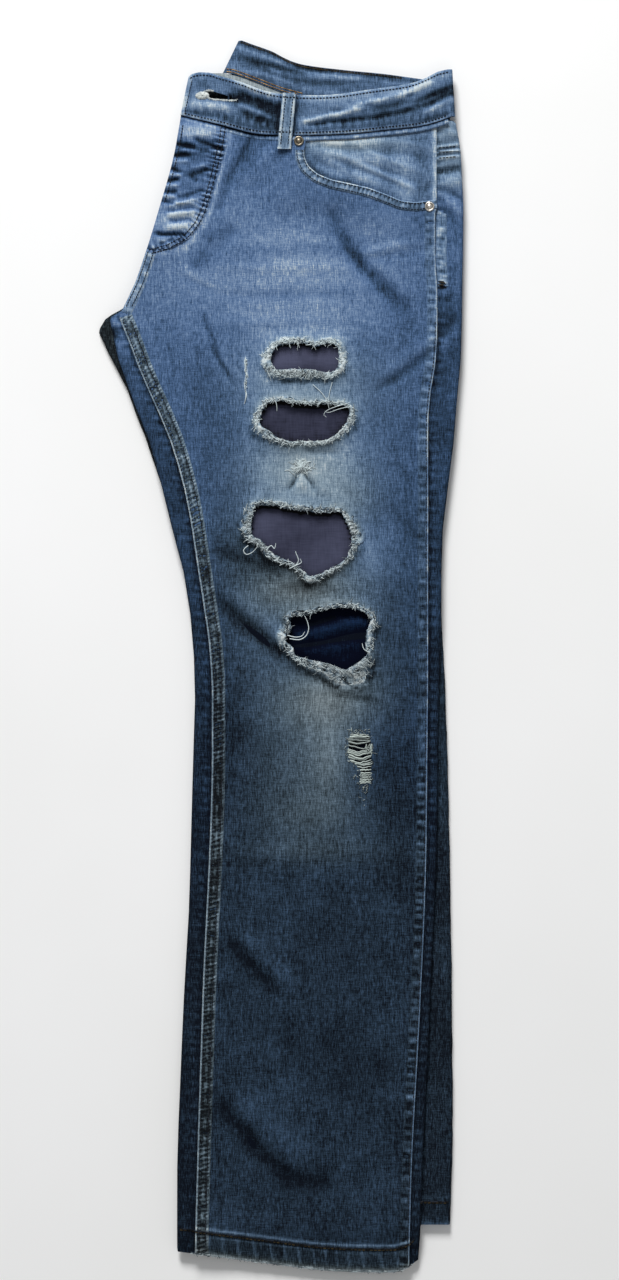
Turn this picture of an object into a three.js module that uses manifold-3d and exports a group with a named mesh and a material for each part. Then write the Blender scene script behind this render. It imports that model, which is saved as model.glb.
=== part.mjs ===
// Ripped straight-leg jeans, folded in half along the centre front and back and laid flat,
// with the wearer's left leg on top and its front facing up.
// Millimetres, +Z up, +Y towards the waist. The origin lies under the middle of the folded garment,
// on the surface that it rests on.
import * as THREE from "three";
import { mergeVertices } from "three/addons/utils/BufferGeometryUtils.js";
import Module from "manifold-3d";

const wasm = await Module();
wasm.setup();

// Cloth and seams
const CLOTH = 1.2; // one layer of denim
const BAND_CLOTH = 2.4; // the waistband's two layers and its interlining
const LINING_CLOTH = 1.0;
const GAP = 0.3; // between pieces that meet at a seam or lie on each other
const SEAM_LAP = 8; // how far the back's edge runs under the front's at the side seam and inseam

// Heights of the layers above the surface
const UNDER_HEIGHT = 6; // the half that is folded underneath, front and back together
const BACK_MIDDLE = UNDER_HEIGHT + GAP + CLOTH / 2;
const FOLD_RADIUS = 1.6; // middle of the cloth where the back panel rolls round to the front
const SEAT_FOLD_RADIUS = 0.75; // the same above the crotch, where only a seam allowance turns
const STRIP_TOP = BACK_MIDDLE + 2 * FOLD_RADIUS + CLOTH / 2;
const FRONT_UNDERSIDE = STRIP_TOP + GAP;
const BACK_BAND_MIDDLE = UNDER_HEIGHT + GAP + BAND_CLOTH / 2;
const FRONT_BAND_UNDERSIDE = 10.6;
const LINING_UNDERSIDE = UNDER_HEIGHT + 2 * GAP + CLOTH;

// How the front panel settles over the layers below it
const FRONT_SAG = 1.5; // away from its seams
const SAG_REACH = 25;
const FLY_DROP = 3.3; // where the fly reaches past the back panel
const FLY_DROP_START = 10; // clear of the back panel's edge
const FLY_DROP_REACH = 16;
const FLY_RISE = 0.9; // the fly's second layer
const POCKET_LIFT = CLOTH + GAP; // where the pocket's hem lies over its facing
const POCKET_LIFT_REACH = 26; // outside the facing, where the lift begins
const POCKET_LIFT_MARGIN = 10; // outside the facing, where it is complete
const WAIST_DIP = 0.9; // where the panel tucks under the waistband
const WAIST_DIP_REACH = 10;
const HEM_DEPTH = 22;
const HEM_RISE = 1.0; // the turned-up layers of the hem
const BAND_ROLL_X = 146; // where the waistband begins to roll round the side
const BAND_END_DROP = 3.8; // the buttonhole end of the waistband rests lower

// Stations along Y
const WAIST_Y = 471; // waist seam at the fly
const YOKE_SEAM_Y = 438.8;
const CROTCH_Y = 295;
const HEM_Y = -518.5; // left leg's hem at the inseam side
const UNDER_HEM_Y = -495.9; // the lower leg's hem

// Sections of the folded garment from the waist seam to the hem. Each row gives the X of the edges there:
// the half underneath, the folds of the left back panel, and the seams of the left front panel.
const SECTION_COLUMNS = [
  "y", "underLeft", "backLeft", "frontLeft", "frontRight", "backRight", "underRight",
];
const SECTIONS = [
  [WAIST_Y, -81, -54, -86.6, 132.7, 152.2, 147.5],
  [436, -89, -70, -92.7, 136.2, 157, 152],
  [392, -101, -87.5, -104.8, 134.4, 159.2, 153.5],
  [349, -114, -105, -117.9, 134.4, 158.8, 153.5],
  [318, -126.5, -121.5, -129, 136.2, 158.3, 153.5],
  [305, -134, -130, -135.8, 136.3, 158, 153.5],
  [CROTCH_Y, -152, -149, -140.5, 136.3, 158, 153.5],
  [283, -158.8, -145.7, -135.3, 136.3, 158, 153.5],
  [259, -147.5, -141.4, -126.6, 135.2, 157, 152.7],
  [233, -134, -132.4, -115.7, 131, 154.4, 151.3],
  [212, -126.5, -124, -106.1, 128.6, 153, 149.6],
  [188, -117, -114.4, -96.1, 128.3, 151, 146.6],
  [143, -101.4, -102.2, -83.1, 128.4, 145.3, 142.7],
  [111, -91.8, -94.4, -77, 128.4, 141.4, 139.6],
  [83.5, -84, -86.6, -73, 128.3, 140.1, 137.9],
  [45, -77, -79.6, -67, 128.3, 140.1, 139.6],
  [5, -72.2, -75.7, -61.5, 128.3, 139.2, 142.1],
  [-30, -70.5, -74.4, -59.6, 128.2, 137.9, 143.6],
  [-90, -69.2, -76.1, -59.6, 127.6, 137, 145.7],
  [-157, -67.9, -77.9, -61.3, 127, 136.4, 147.1],
  [-217, -67, -79.6, -64.1, 125.5, 134.2, 148.2],
  [-271, -66, -82.7, -66.8, 123.1, 131.6, 149],
  [-311, -65.3, -84.8, -68.3, 121.2, 130.2, 149.5],
  [-364, -63.9, -87, -70, 118.3, 127.6, 150.1],
  [-412, -63.5, -89, -71.6, 115.6, 125.4, 150.1],
  [-456, -63.1, -90, -72.8, 113.5, 123.4, 149.2],
  [UNDER_HEM_Y, -63.1, -90, -74, 112.1, 121.6, 147.9],
  [HEM_Y, -63.1, -90, -74.4, 111.8, 119.5, 147.9],
].map((row) => Object.fromEntries(SECTION_COLUMNS.map((name, i) => [name, row[i]])));

// The half underneath, above the waist seam, where both waistbands hide it
const UNDER_WAIST = [
  { y: 532, left: -30, right: -21 },
  { y: 525, left: -34, right: -8 },
  { y: 518, left: -38, right: 4 },
  { y: 512, left: -41, right: 30 },
  { y: 506, left: -43, right: 80 },
  { y: 502, left: -45, right: 112 },
  { y: 498, left: -75, right: 144 },
];

// Edges that run across the garment, as Y for each X
const WAIST_SEAM = [
  { x: -87, y: WAIST_Y }, { x: -52, y: 462.2 }, { x: -16, y: 453.8 }, { x: 12, y: 452.8 },
  { x: 55, y: 454.1 }, { x: 90, y: 457.4 }, { x: 118, y: 460.4 }, { x: 133, y: 463.7 },
  { x: 152, y: 470.6 },
];
const BAND_TOP = [
  { x: -80, y: 506 }, { x: -67, y: 508.3 }, { x: -52, y: 504 }, { x: -37, y: 500 },
  { x: -12, y: 490.9 }, { x: 8, y: 487.8 }, { x: 35, y: 487.4 }, { x: 83, y: 493.2 },
  { x: 114, y: 497.8 }, { x: 128, y: 503.4 }, { x: 141, y: 509.6 }, { x: 150, y: 510.7 },
];
const BACK_BAND_TOP = [
  { x: -36.5, y: 537 }, { x: -25, y: 532.6 }, { x: -7, y: 526.2 }, { x: 7, y: 518.7 },
  { x: 20, y: 514.7 }, { x: 55, y: 510.2 }, { x: 90, y: 506.7 }, { x: 114, y: 503.4 }, { x: 146, y: 499 },
];
const BACK_WAIST_SEAM = [
  { x: -55, y: 508 }, { x: -43, y: 507.2 }, { x: -29, y: 502.4 }, { x: -16, y: 497.6 },
  { x: 2, y: 490.7 },
  { x: 60, y: 477.5 }, { x: 110, y: 470.6 }, { x: 153, y: 468.6 },
];
const HEM_EDGE = [
  { x: -90, y: HEM_Y }, { x: -58, y: -522.9 }, { x: -12, y: -529 }, { x: 43, y: -535.6 },
  { x: 70, y: -536.8 },
  { x: 94, y: -537 }, { x: 107, y: -535.6 }, { x: 119.5, y: -525.5 },
];

// Front pocket: the edge of its opening, and how far its facing runs on under the front panel
const POCKET_EDGE = [
  { x: 21.4, y: 446 }, { x: 20.4, y: 435.3 }, { x: 24.5, y: 425.5 }, { x: 32.9, y: 418.6 },
  { x: 45.3, y: 413.8 }, { x: 59.2, y: 411 }, { x: 77.3, y: 406.8 }, { x: 94, y: 400.5 },
  { x: 105, y: 395.6 }, { x: 117.5, y: 394.3 }, { x: 128.6, y: 395.9 },
];
const FACING_MARGIN = 9;
const FACING_LEFT = 14;
const FACING_LOW_LEFT = { x: FACING_LEFT, y: 420 };

// The fly's curved stitch line, from the waist seam to the front edge
const FLY_LINE = [
  { x: -47.8, y: 458 }, { x: -55.3, y: 423.7 }, { x: -64, y: 391 }, { x: -70.5, y: 375.8 },
  { x: -81.3, y: 362.8 }, { x: -96.5, y: 354.2 }, { x: -118, y: 348.5 },
];

// The largest folds of the front panel and of the waistband: soft ridges, and troughs where height is below 0
const FRONT_FOLDS = [
  { from: [52, 392], to: [100, 312], width: 13, height: -1.4 },
  { from: [70, 398], to: [118, 320], width: 15, height: 1.5 },
  { from: [84, 234], to: [132, 268], width: 10, height: -1.3 },
  { from: [78, 250], to: [124, 284], width: 13, height: 1.2 },
  { from: [-72, 278], to: [-44, 236], width: 9, height: 1.1 },
  { from: [-50, 48], to: [4, 4], width: 12, height: -1.4 },
  { from: [-40, 62], to: [6, 26], width: 14, height: 2.0 },
  { from: [-22, 150], to: [62, 148], width: 15, height: 1.6 },
  { from: [-14, 235], to: [60, 236], width: 12, height: 1.3 },
  { from: [10, -30], to: [84, -22], width: 16, height: 1.8 },
  { from: [-48, -262], to: [-14, -300], width: 13, height: -1.3 },
  { from: [-30, -250], to: [10, -296], width: 16, height: 1.4 },
  { from: [-58, -380], to: [20, -458], width: 14, height: -1.4 },
  { from: [-40, -366], to: [40, -440], width: 18, height: 1.6 },
  { from: [-46, -178], to: [86, -176], width: 14, height: 0.9 },
];
const BAND_FOLDS = [
  { from: [24, 478], to: [140, 497], width: 7, height: 1.5 },
  { from: [30, 466], to: [130, 480], width: 7, height: 0.9 },
];

// Rips cut through the front panel. lip is how far the cloth below the hole stands up.
const RIPS = [
  {
    name: "rip_fray_1", lip: 1.2,
    outline: [
      [-3, 269], [10, 272], [30, 269.5], [49, 270.5], [50.5, 256], [46, 247.5], [29, 248.5], [-4, 248.5],
      [-8.5, 258],
    ],
  },
  {
    name: "rip_fray_2", lip: 1.8,
    outline: [
      [-14.5, 215.5], [-6, 221.5], [19, 219], [46, 219], [60, 214], [57, 202], [42, 188], [18, 185.8],
      [-3, 189.5], [-16.5, 199], [-18, 207],
    ],
  },
  {
    name: "rip_fray_3", lip: 2.2,
    outline: [
      [-21, 129.5], [-4, 130.5], [30, 125], [51, 125], [60.5, 108], [61, 93], [46, 76.5], [28, 69],
      [9, 81], [-8, 90], [-23, 103], [-25.5, 115],
    ],
  },
  {
    name: "rip_fray_4", lip: 2.4,
    outline: [
      [8, 31.5], [26, 36], [42, 40.5], [64, 41.5], [77, 33], [74.5, 14], [75, 0.5], [58, -11.5],
      [40, -7], [13, 1], [4.5, 14], [10.5, 24],
    ],
  },
];
const RIP_LIP_REACH = 16;
const RIP_POINTS = 32;
const FRAY = {
  inset: 0.7, width: 3.4, height: 0.9, clearance: 0.35, strands: 18, strand: 0.42, reach: 6.5, rise: 0.9,
};

// The small worn window, whose crosswise yarns still bridge it
const LADDER = {
  left: 58.5, right: 79.5, top: -68, bottom: -111, narrowing: 8, rungs: 10, rung: 0.55, sag: 1.6, frame: 2.2,
};

const LINING = { left: -42, right: 80, top: 288, bottom: 55, rows: 8, columns: 5 };

const BELT_LOOP = {
  topX: 7.9, topY: 489.2, footX: 3.2, footY: 440.5, width: 12, cloth: 1.6, bow: 1.2, rows: 13,
};
const BUTTONHOLE = { eyeX: -72, eyeY: 490, length: 29, width: 3.6, lean: -0.22 };

const RIVET = { radius: 4.3, rim: 3.5, height: 1.5, nub: 1.2, sides: 20 };
const RIVET_PLACES = { rivet_waist: [16, 447.6], rivet_side: [129.6, 390.6] };

// Mesh steps
const BODY_ROWS = 12;
const LEG_ROWS = 38;
const FRONT_COLUMNS = 16;
const BAND_COLUMNS = 24;
const BAND_ROWS = 4;
const FACING_COLUMNS = 14;
const FACING_ROWS = 5;
const FOLD_STEPS = 4;
const BACK_RUN_STEPS = 6;
const YOKE_RUN_STEPS = 26;
const YOKE_ROWS = 3;

const finish = (red, green, blue, roughness, metalness) =>
  new THREE.MeshStandardMaterial({ color: new THREE.Color(red, green, blue), roughness, metalness });
const denim = (tone) => finish(0.12 * tone, 0.19 * tone, 0.31 * tone, 0.92, 0);
const materials = {
  left_front: denim(1),
  left_back: denim(0.72),
  left_yoke: denim(0.85),
  pocket_facing: denim(1.1),
  waistband_front: denim(1),
  waistband_back: denim(0.9),
  belt_loop: denim(1.2),
  right_half: denim(0.62),
  rip_backing: finish(0.05, 0.05, 0.075, 0.95, 0),
  fray: finish(0.62, 0.66, 0.64, 1, 0),
  rivet_waist: finish(0.3, 0.25, 0.18, 0.45, 1),
  rivet_side: finish(0.72, 0.7, 0.66, 0.35, 1),
};

const point = (x, y, z) => new THREE.Vector3(x, y, z);
const mix = THREE.MathUtils.lerp;

// 0 up to start and 1 from end on, with a smooth step between them. Either may be the larger.
function step(start, end, value) {
  const t = THREE.MathUtils.clamp((value - start) / (end - start), 0, 1);
  return t * t * (3 - 2 * t);
}

// A repeatable number from 0 to 1 for each whole number.
function scatter(n) {
  const s = Math.sin(n * 12.9898 + 4.1414) * 43758.5453;
  return s - Math.floor(s);
}

// A smooth curve through (xs, ys) that doesn't overshoot between them, held level outside.
function curveThrough(xs, ys) {
  const order = xs.map((_, i) => i).sort((a, b) => xs[a] - xs[b]);
  const x = order.map((i) => xs[i]);
  const y = order.map((i) => ys[i]);
  const slopes = x.slice(1).map((_, i) => (y[i + 1] - y[i]) / (x[i + 1] - x[i]));
  const tangents = x.map((_, i) => {
    const before = slopes[Math.max(i - 1, 0)];
    const after = slopes[Math.min(i, slopes.length - 1)];
    return before * after <= 0 ? 0 : (2 * before * after) / (before + after);
  });
  return (at) => {
    if (at <= x[0]) return y[0];
    if (at >= x[x.length - 1]) return y[y.length - 1];
    const i = x.findIndex((v) => v > at) - 1;
    const h = x[i + 1] - x[i];
    const t = (at - x[i]) / h;
    const rise = t * t * (3 - 2 * t);
    return mix(y[i], y[i + 1], rise) + h * t * (1 - t) * (tangents[i] * (1 - t) - tangents[i + 1] * t);
  };
}

const edge = Object.fromEntries(
  SECTION_COLUMNS.slice(1).map((name) => [
    name, curveThrough(SECTIONS.map((s) => s.y), SECTIONS.map((s) => s[name])),
  ]),
);
const across = (points) => curveThrough(points.map((p) => p.x), points.map((p) => p.y));
const waistSeam = across(WAIST_SEAM);
const bandTop = across(BAND_TOP);
const backBandTop = across(BACK_BAND_TOP);
const backWaistSeam = across(BACK_WAIST_SEAM);
const hemEdge = across(HEM_EDGE);
const facingEdge = across([FACING_LOW_LEFT, ...POCKET_EDGE.slice(2)]);
const flyLine = curveThrough(FLY_LINE.map((p) => p.y), FLY_LINE.map((p) => p.x));

// Rows are level down the leg, and bend to follow the waist seam at the top and the hem at the foot.
const WAIST_BEND = 70;
const HEM_BEND = 90;
const bentY = (x, level) =>
  level
  + (waistSeam(x) - WAIST_Y) * step(WAIST_Y - WAIST_BEND, WAIST_Y, level)
  + (hemEdge(x) - HEM_Y) * step(HEM_Y + HEM_BEND, HEM_Y, level);

const levels = (top, bottom, rows) => Array.from({ length: rows }, (_, i) => mix(top, bottom, i / rows));

// A closed solid from a grid of outer and inner points. Rows run towards -Y, columns so that outer faces out.
function wallGeometry(grid) {
  const rows = grid.length;
  const columns = grid[0].length;
  const index = [];
  const at = (side, i, j) => (side * rows + i) * columns + j;
  const quad = (a, b, c, d) => index.push(a, b, c, a, c, d);
  for (let i = 0; i < rows - 1; i++) {
    for (let j = 0; j < columns - 1; j++) {
      quad(at(0, i, j), at(0, i + 1, j), at(0, i + 1, j + 1), at(0, i, j + 1));
      quad(at(1, i, j), at(1, i, j + 1), at(1, i + 1, j + 1), at(1, i + 1, j));
    }
    const last = columns - 1;
    quad(at(0, i, 0), at(1, i, 0), at(1, i + 1, 0), at(0, i + 1, 0));
    quad(at(0, i, last), at(0, i + 1, last), at(1, i + 1, last), at(1, i, last));
  }
  for (let j = 0; j < columns - 1; j++) {
    const last = rows - 1;
    quad(at(0, 0, j), at(0, 0, j + 1), at(1, 0, j + 1), at(1, 0, j));
    quad(at(0, last, j), at(1, last, j), at(1, last, j + 1), at(0, last, j + 1));
  }
  const cells = grid.flat();
  return indexed([...cells.map((cell) => cell.outer), ...cells.map((cell) => cell.inner)], index);
}

// A grid for a wall, with down and along running from 0 to 1.
const gridOf = (rows, columns, cell) =>
  Array.from({ length: rows + 1 }, (_, i) =>
    Array.from({ length: columns + 1 }, (_, j) => cell(i / rows, j / columns)));

// A cell of a level wall at (x, y).
const levelCell = (x, y, underside, cloth) => ({
  outer: point(x, y, underside + cloth), inner: point(x, y, underside),
});

// A closed solid through rings of points, each ring turning the same way. A ring of rings closes on itself.
function ringsGeometry(rings, closed) {
  const sides = rings[0].length;
  const points = rings.flat();
  const index = [];
  const stretches = closed ? rings.length : rings.length - 1;
  for (let i = 0; i < stretches; i++) {
    const next = (i + 1) % rings.length;
    for (let k = 0; k < sides; k++) {
      const after = (k + 1) % sides;
      const [a, b, c, d] = [i * sides + k, next * sides + k, next * sides + after, i * sides + after];
      index.push(a, b, c, a, c, d);
    }
  }
  if (!closed) {
    for (const [ring, turn] of [[0, 1], [rings.length - 1, -1]]) {
      const centre = points.length;
      points.push(rings[ring].reduce((sum, p) => sum.add(p), point(0, 0, 0)).divideScalar(sides));
      for (let k = 0; k < sides; k++) {
        const [a, b] = [ring * sides + k, ring * sides + ((k + 1) % sides)];
        index.push(...(turn > 0 ? [centre, a, b] : [centre, b, a]));
      }
    }
  }
  return indexed(points, index);
}

function indexed(points, index) {
  const positions = new Float32Array(points.flatMap((p) => [p.x, p.y, p.z]));
  return new THREE.BufferGeometry()
    .setAttribute("position", new THREE.BufferAttribute(positions, 3))
    .setIndex(index);
}

function solidOf(geometry) {
  const bare = new THREE.BufferGeometry().setAttribute("position", geometry.getAttribute("position"));
  if (geometry.index) bare.setIndex(geometry.index);
  const merged = mergeVertices(bare, 1e-4);
  return new wasm.Manifold(
    new wasm.Mesh({
      numProp: 3,
      vertProperties: new Float32Array(merged.attributes.position.array),
      triVerts: new Uint32Array(merged.index.array),
    }),
  );
}

function geometryOf(solid) {
  const mesh = solid.getMesh();
  return new THREE.BufferGeometry()
    .setAttribute("position", new THREE.BufferAttribute(mesh.vertProperties, 3))
    .setIndex(new THREE.BufferAttribute(mesh.triVerts, 1));
}

// An upright cutter that passes through every layer of a panel.
const CUTTER_DEPTH = 60;
function cutter(outline) {
  const shape = new THREE.Shape(outline.map(([x, y]) => new THREE.Vector2(x, y)));
  return solidOf(new THREE.ExtrudeGeometry(shape, { depth: CUTTER_DEPTH, bevelEnabled: false, steps: 1 })
    .translate(0, 0, -CUTTER_DEPTH / 2));
}

// The top of a piece at (x, y), or undefined where the piece isn't there.
const ray = new THREE.Raycaster();
const DOWN = point(0, 0, -1);
function topOf(mesh, x, y) {
  ray.set(point(x, y, CUTTER_DEPTH), DOWN);
  return ray.intersectObject(mesh)[0]?.point.z;
}

function foldHeight(folds, x, y) {
  return folds.reduce((sum, { from, to, width, height }) => {
    const along = [to[0] - from[0], to[1] - from[1]];
    const length = Math.hypot(...along);
    const t = ((x - from[0]) * along[0] + (y - from[1]) * along[1]) / length ** 2;
    const off = ((x - from[0]) * along[1] - (y - from[1]) * along[0]) / length;
    const taper = step(-0.25, 0.2, t) * step(1.25, 0.8, t);
    return sum + height * taper * Math.exp(-((off / width) ** 2));
  }, 0);
}

// How far a rip's lower lip stands up at (x, y).
function lipHeight(x, y) {
  return RIPS.reduce((sum, { outline, lip }) => {
    const xs = outline.map((p) => p[0]);
    const low = Math.min(...outline.map((p) => p[1]));
    const middle = (Math.min(...xs) + Math.max(...xs)) / 2;
    const half = (Math.max(...xs) - Math.min(...xs)) / 2;
    const beside = Math.exp(-(((x - middle) / half) ** 4));
    return sum + lip * beside * Math.exp(-(((y - low) / RIP_LIP_REACH) ** 2));
  }, 0);
}

// Height of the front panel's outer face, and how thick the panel is there.
function frontSurface(x, y, level) {
  const inside = Math.min(x - edge.frontLeft(level), edge.frontRight(level) - x);
  const overFacing = step(-POCKET_LIFT_REACH, -POCKET_LIFT_MARGIN, x - FACING_LEFT)
    * step(-POCKET_LIFT_REACH, -POCKET_LIFT_MARGIN, y - (facingEdge(x) - FACING_MARGIN));
  const settled = step(SEAM_LAP + 2, SEAM_LAP + 2 + SAG_REACH, inside) * (1 - overFacing);
  const pastBack = step(0, FLY_DROP_REACH, edge.backLeft(level) - FLY_DROP_START - x)
    * step(CROTCH_Y, CROTCH_Y + 20, level);
  const inFly = step(2, -2, x - flyLine(y)) * step(346, 351, y);
  const inHem = step(HEM_DEPTH + 2, HEM_DEPTH - 2, y - hemEdge(x));
  const atWaist = step(WAIST_DIP_REACH, 0, waistSeam(x) - y) * (1 - overFacing);
  const extra = FLY_RISE * inFly + HEM_RISE * inHem;
  const height = FRONT_UNDERSIDE + CLOTH + extra
    - FRONT_SAG * settled
    + (foldHeight(FRONT_FOLDS, x, y) + lipHeight(x, y)) * settled
    + POCKET_LIFT * overFacing
    - FLY_DROP * pastBack
    - WAIST_DIP * atWaist * settled;
  return { height, cloth: CLOTH + extra };
}

// Left front: from the waist seam to the hem, and from the fly and inseam to the side seam.
function frontPanel() {
  const rows = [...levels(WAIST_Y, CROTCH_Y, BODY_ROWS), ...levels(CROTCH_Y, HEM_Y, LEG_ROWS), HEM_Y];
  const grid = rows.map((level, i) =>
    Array.from({ length: FRONT_COLUMNS + 1 }, (_, j) => {
      const x = mix(edge.frontLeft(level), edge.frontRight(level), j / FRONT_COLUMNS);
      const y = bentY(x, level) - (i === 0 ? GAP : 0);
      const { height, cloth } = frontSurface(x, y, level);
      return levelCell(x, y, height - cloth, cloth);
    }));
  return wallGeometry(grid);
}

// A cut line round a rip, evenly spaced, running anticlockwise.
function ripLine({ outline }, count) {
  const loop = new THREE.CatmullRomCurve3(outline.map(([x, y]) => point(x, y, 0)), true, "centripetal");
  const spaced = loop.getSpacedPoints(count).slice(0, -1);
  const anticlockwise = THREE.ShapeUtils.area(spaced) > 0 ? spaced : spaced.toReversed();
  return anticlockwise.map((p) => [p.x, p.y]);
}

const POCKET_CUT_RIGHT = 150;
const POCKET_CUT_TOP = 480;
function pocketOpening() {
  const top = POCKET_EDGE[0];
  const end = POCKET_EDGE[POCKET_EDGE.length - 1];
  const along = POCKET_EDGE.map((p) => point(p.x, p.y, 0));
  const curve = new THREE.CatmullRomCurve3(along, false, "centripetal");
  return [
    [top.x, POCKET_CUT_TOP],
    ...curve.getPoints(POCKET_EDGE.length * 2).map((p) => [p.x, p.y]),
    [POCKET_CUT_RIGHT, end.y],
    [POCKET_CUT_RIGHT, POCKET_CUT_TOP],
  ];
}

const ladderOutline = [
  [LADDER.left, LADDER.top], [LADDER.left, (LADDER.top + LADDER.bottom) / 2],
  [LADDER.left + LADDER.narrowing, LADDER.bottom], [LADDER.right, LADDER.bottom],
  [LADDER.right, LADDER.top],
];

function rippedFront(panel) {
  const holes = [pocketOpening(), ladderOutline, ...RIPS.map((rip) => ripLine(rip, RIP_POINTS))];
  return geometryOf(holes.reduce((solid, hole) => solid.subtract(cutter(hole)), solidOf(panel)));
}

// One section of the left back: from under the side seam, round the right fold, across, and round to under
// the inseam. Each point is the middle of the cloth with the direction that faces out.
function backSection(level, runSteps) {
  const strip = BACK_MIDDLE + 2 * FOLD_RADIUS;
  const belowCrotch = level <= CROTCH_Y;
  const leftRadius = belowCrotch ? FOLD_RADIUS : SEAT_FOLD_RADIUS;
  const rightTurn = edge.backRight(level) - CLOTH / 2 - FOLD_RADIUS;
  const leftTurn = edge.backLeft(level) + CLOTH / 2 + leftRadius;
  const leftEnd = belowCrotch ? edge.frontLeft(level) + SEAM_LAP : leftTurn + 2;
  const up = point(0, 0, 1);
  const turn = (x, radius, from, to) =>
    Array.from({ length: FOLD_STEPS + 1 }, (_, i) => {
      const angle = mix(from, to, i / FOLD_STEPS);
      const out = point(Math.cos(angle), 0, Math.sin(angle));
      return { at: point(x, 0, BACK_MIDDLE + radius).addScaledVector(out, radius), out };
    });
  const rightEnd = edge.frontRight(level) - SEAM_LAP;
  const run = Array.from({ length: runSteps - 1 }, (_, i) => ({
    at: point(mix(rightTurn, leftTurn, (i + 1) / runSteps), 0, BACK_MIDDLE), out: point(0, 0, -1),
  }));
  return [
    { at: point(rightEnd, 0, strip), out: up },
    { at: point((rightEnd + rightTurn) / 2, 0, strip), out: up },
    ...turn(rightTurn, FOLD_RADIUS, Math.PI / 2, -Math.PI / 2),
    ...run,
    ...turn(leftTurn, leftRadius, -Math.PI / 2, (-3 * Math.PI) / 2),
    { at: point((leftEnd + leftTurn) / 2, 0, BACK_MIDDLE + 2 * leftRadius), out: up },
    { at: point(leftEnd, 0, BACK_MIDDLE + 2 * leftRadius), out: up },
  ];
}

// A back panel wall through sections at these levels. place gives the Y of a section's point.
function backWall(rows, runSteps, place) {
  const grid = rows.map((level, i) =>
    backSection(level, runSteps).map(({ at, out }) => {
      const middle = point(at.x, place(at, level, i), at.z);
      return {
        outer: middle.clone().addScaledVector(out, CLOTH / 2),
        inner: middle.clone().addScaledVector(out, -CLOTH / 2),
      };
    }));
  return wallGeometry(grid);
}

const SEAT_LEVELS = [YOKE_SEAM_Y - GAP / 2, 392, 349, 318, 305];
const BACK_LEG_ROWS = 22;
function backPanel() {
  const rows = [...SEAT_LEVELS, ...levels(CROTCH_Y, HEM_Y, BACK_LEG_ROWS), HEM_Y];
  const hemBend = (x, level) => (hemEdge(x) - HEM_Y) * step(HEM_Y + HEM_BEND, HEM_Y, level);
  return backWall(rows, BACK_RUN_STEPS, (at, level) => level + hemBend(at.x, level));
}

// Left yoke: from the yoke seam up to the waistband, whose seam is higher at the centre back than in front.
function yoke() {
  const rows = [...levels(WAIST_Y, YOKE_SEAM_Y + GAP / 2, YOKE_ROWS), YOKE_SEAM_Y + GAP / 2];
  return backWall(rows, YOKE_RUN_STEPS, (at, level, i) => {
    const onTop = at.z > BACK_MIDDLE + FOLD_RADIUS && at.x > 0;
    const seam = (onTop ? waistSeam(Math.min(at.x, BAND_ROLL_X)) : backWaistSeam(at.x)) - GAP;
    return mix(seam, YOKE_SEAM_Y + GAP / 2, i / YOKE_ROWS);
  });
}

// The half underneath: its two layers share one solid, with a groove between them along the edges.
const LAYER_EDGE = [
  { in: 1.6, z: 0 }, { in: 0.4, z: 0.5 }, { in: 0, z: 1.4 }, { in: 0.5, z: 2.4 }, { in: 2.4, z: 3 },
  { in: 1.1, z: 3.6 }, { in: 0.6, z: 4.6 }, { in: 1, z: 5.5 }, { in: 2.2, z: UNDER_HEIGHT },
];
function underHalf() {
  const sections = [
    ...UNDER_WAIST,
    ...SECTIONS.filter((s) => s.y >= UNDER_HEM_Y)
      .map((s) => ({ y: s.y, left: s.underLeft, right: s.underRight })),
  ];
  const rings = sections.map(({ y, left, right }) => [
    ...LAYER_EDGE.map((p) => point(right - p.in, y, p.z)),
    ...LAYER_EDGE.toReversed().map((p) => point(left + p.in, y, p.z)),
  ]);
  return ringsGeometry(rings.toReversed(), false);
}

// Height of the middle of the front waistband.
function bandMiddle(x, y) {
  const drop = BAND_END_DROP * step(-56, -80, x);
  const flat = step(150, 138, x);
  return FRONT_BAND_UNDERSIDE + BAND_CLOTH / 2 - drop + foldHeight(BAND_FOLDS, x, y) * flat;
}

// Front waistband: from the buttonhole end to the side, where it rolls round towards the back band.
function frontBand() {
  const low = { left: -87, right: 152 };
  const high = { left: -80, right: 149.5 };
  const radius = (FRONT_BAND_UNDERSIDE + BAND_CLOTH / 2 - BACK_BAND_MIDDLE) / 2;
  const turn = radius + BAND_CLOTH / 2;
  const rows = Array.from({ length: BAND_ROWS + 1 }, (_, i) => 1 - i / BAND_ROWS);
  const flat = Array.from({ length: BAND_COLUMNS + 1 }, (_, j) => j / BAND_COLUMNS);
  const round = Array.from({ length: FOLD_STEPS }, (_, k) => Math.PI * (0.5 - (k + 1) / FOLD_STEPS));
  const grid = rows.map((r) => {
    const right = mix(low.right, high.right, r) - turn;
    const level = flat.map((u) => {
      const lowX = mix(low.left, low.right - turn, u);
      const highX = mix(high.left, high.right - turn, u);
      const x = mix(lowX, highX, r);
      const y = mix(waistSeam(lowX), bandTop(highX), r);
      return levelCell(x, y, bandMiddle(x, y) - BAND_CLOTH / 2, BAND_CLOTH);
    });
    const endY = level[level.length - 1].outer.y;
    const rolled = round.map((angle) => {
      const at = (reach) =>
        point(right + Math.cos(angle) * reach, endY, BACK_BAND_MIDDLE + radius + Math.sin(angle) * reach);
      return { outer: at(radius + BAND_CLOTH / 2), inner: at(radius - BAND_CLOTH / 2) };
    });
    return [...level, ...rolled];
  });
  return wallGeometry(grid);
}

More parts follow.
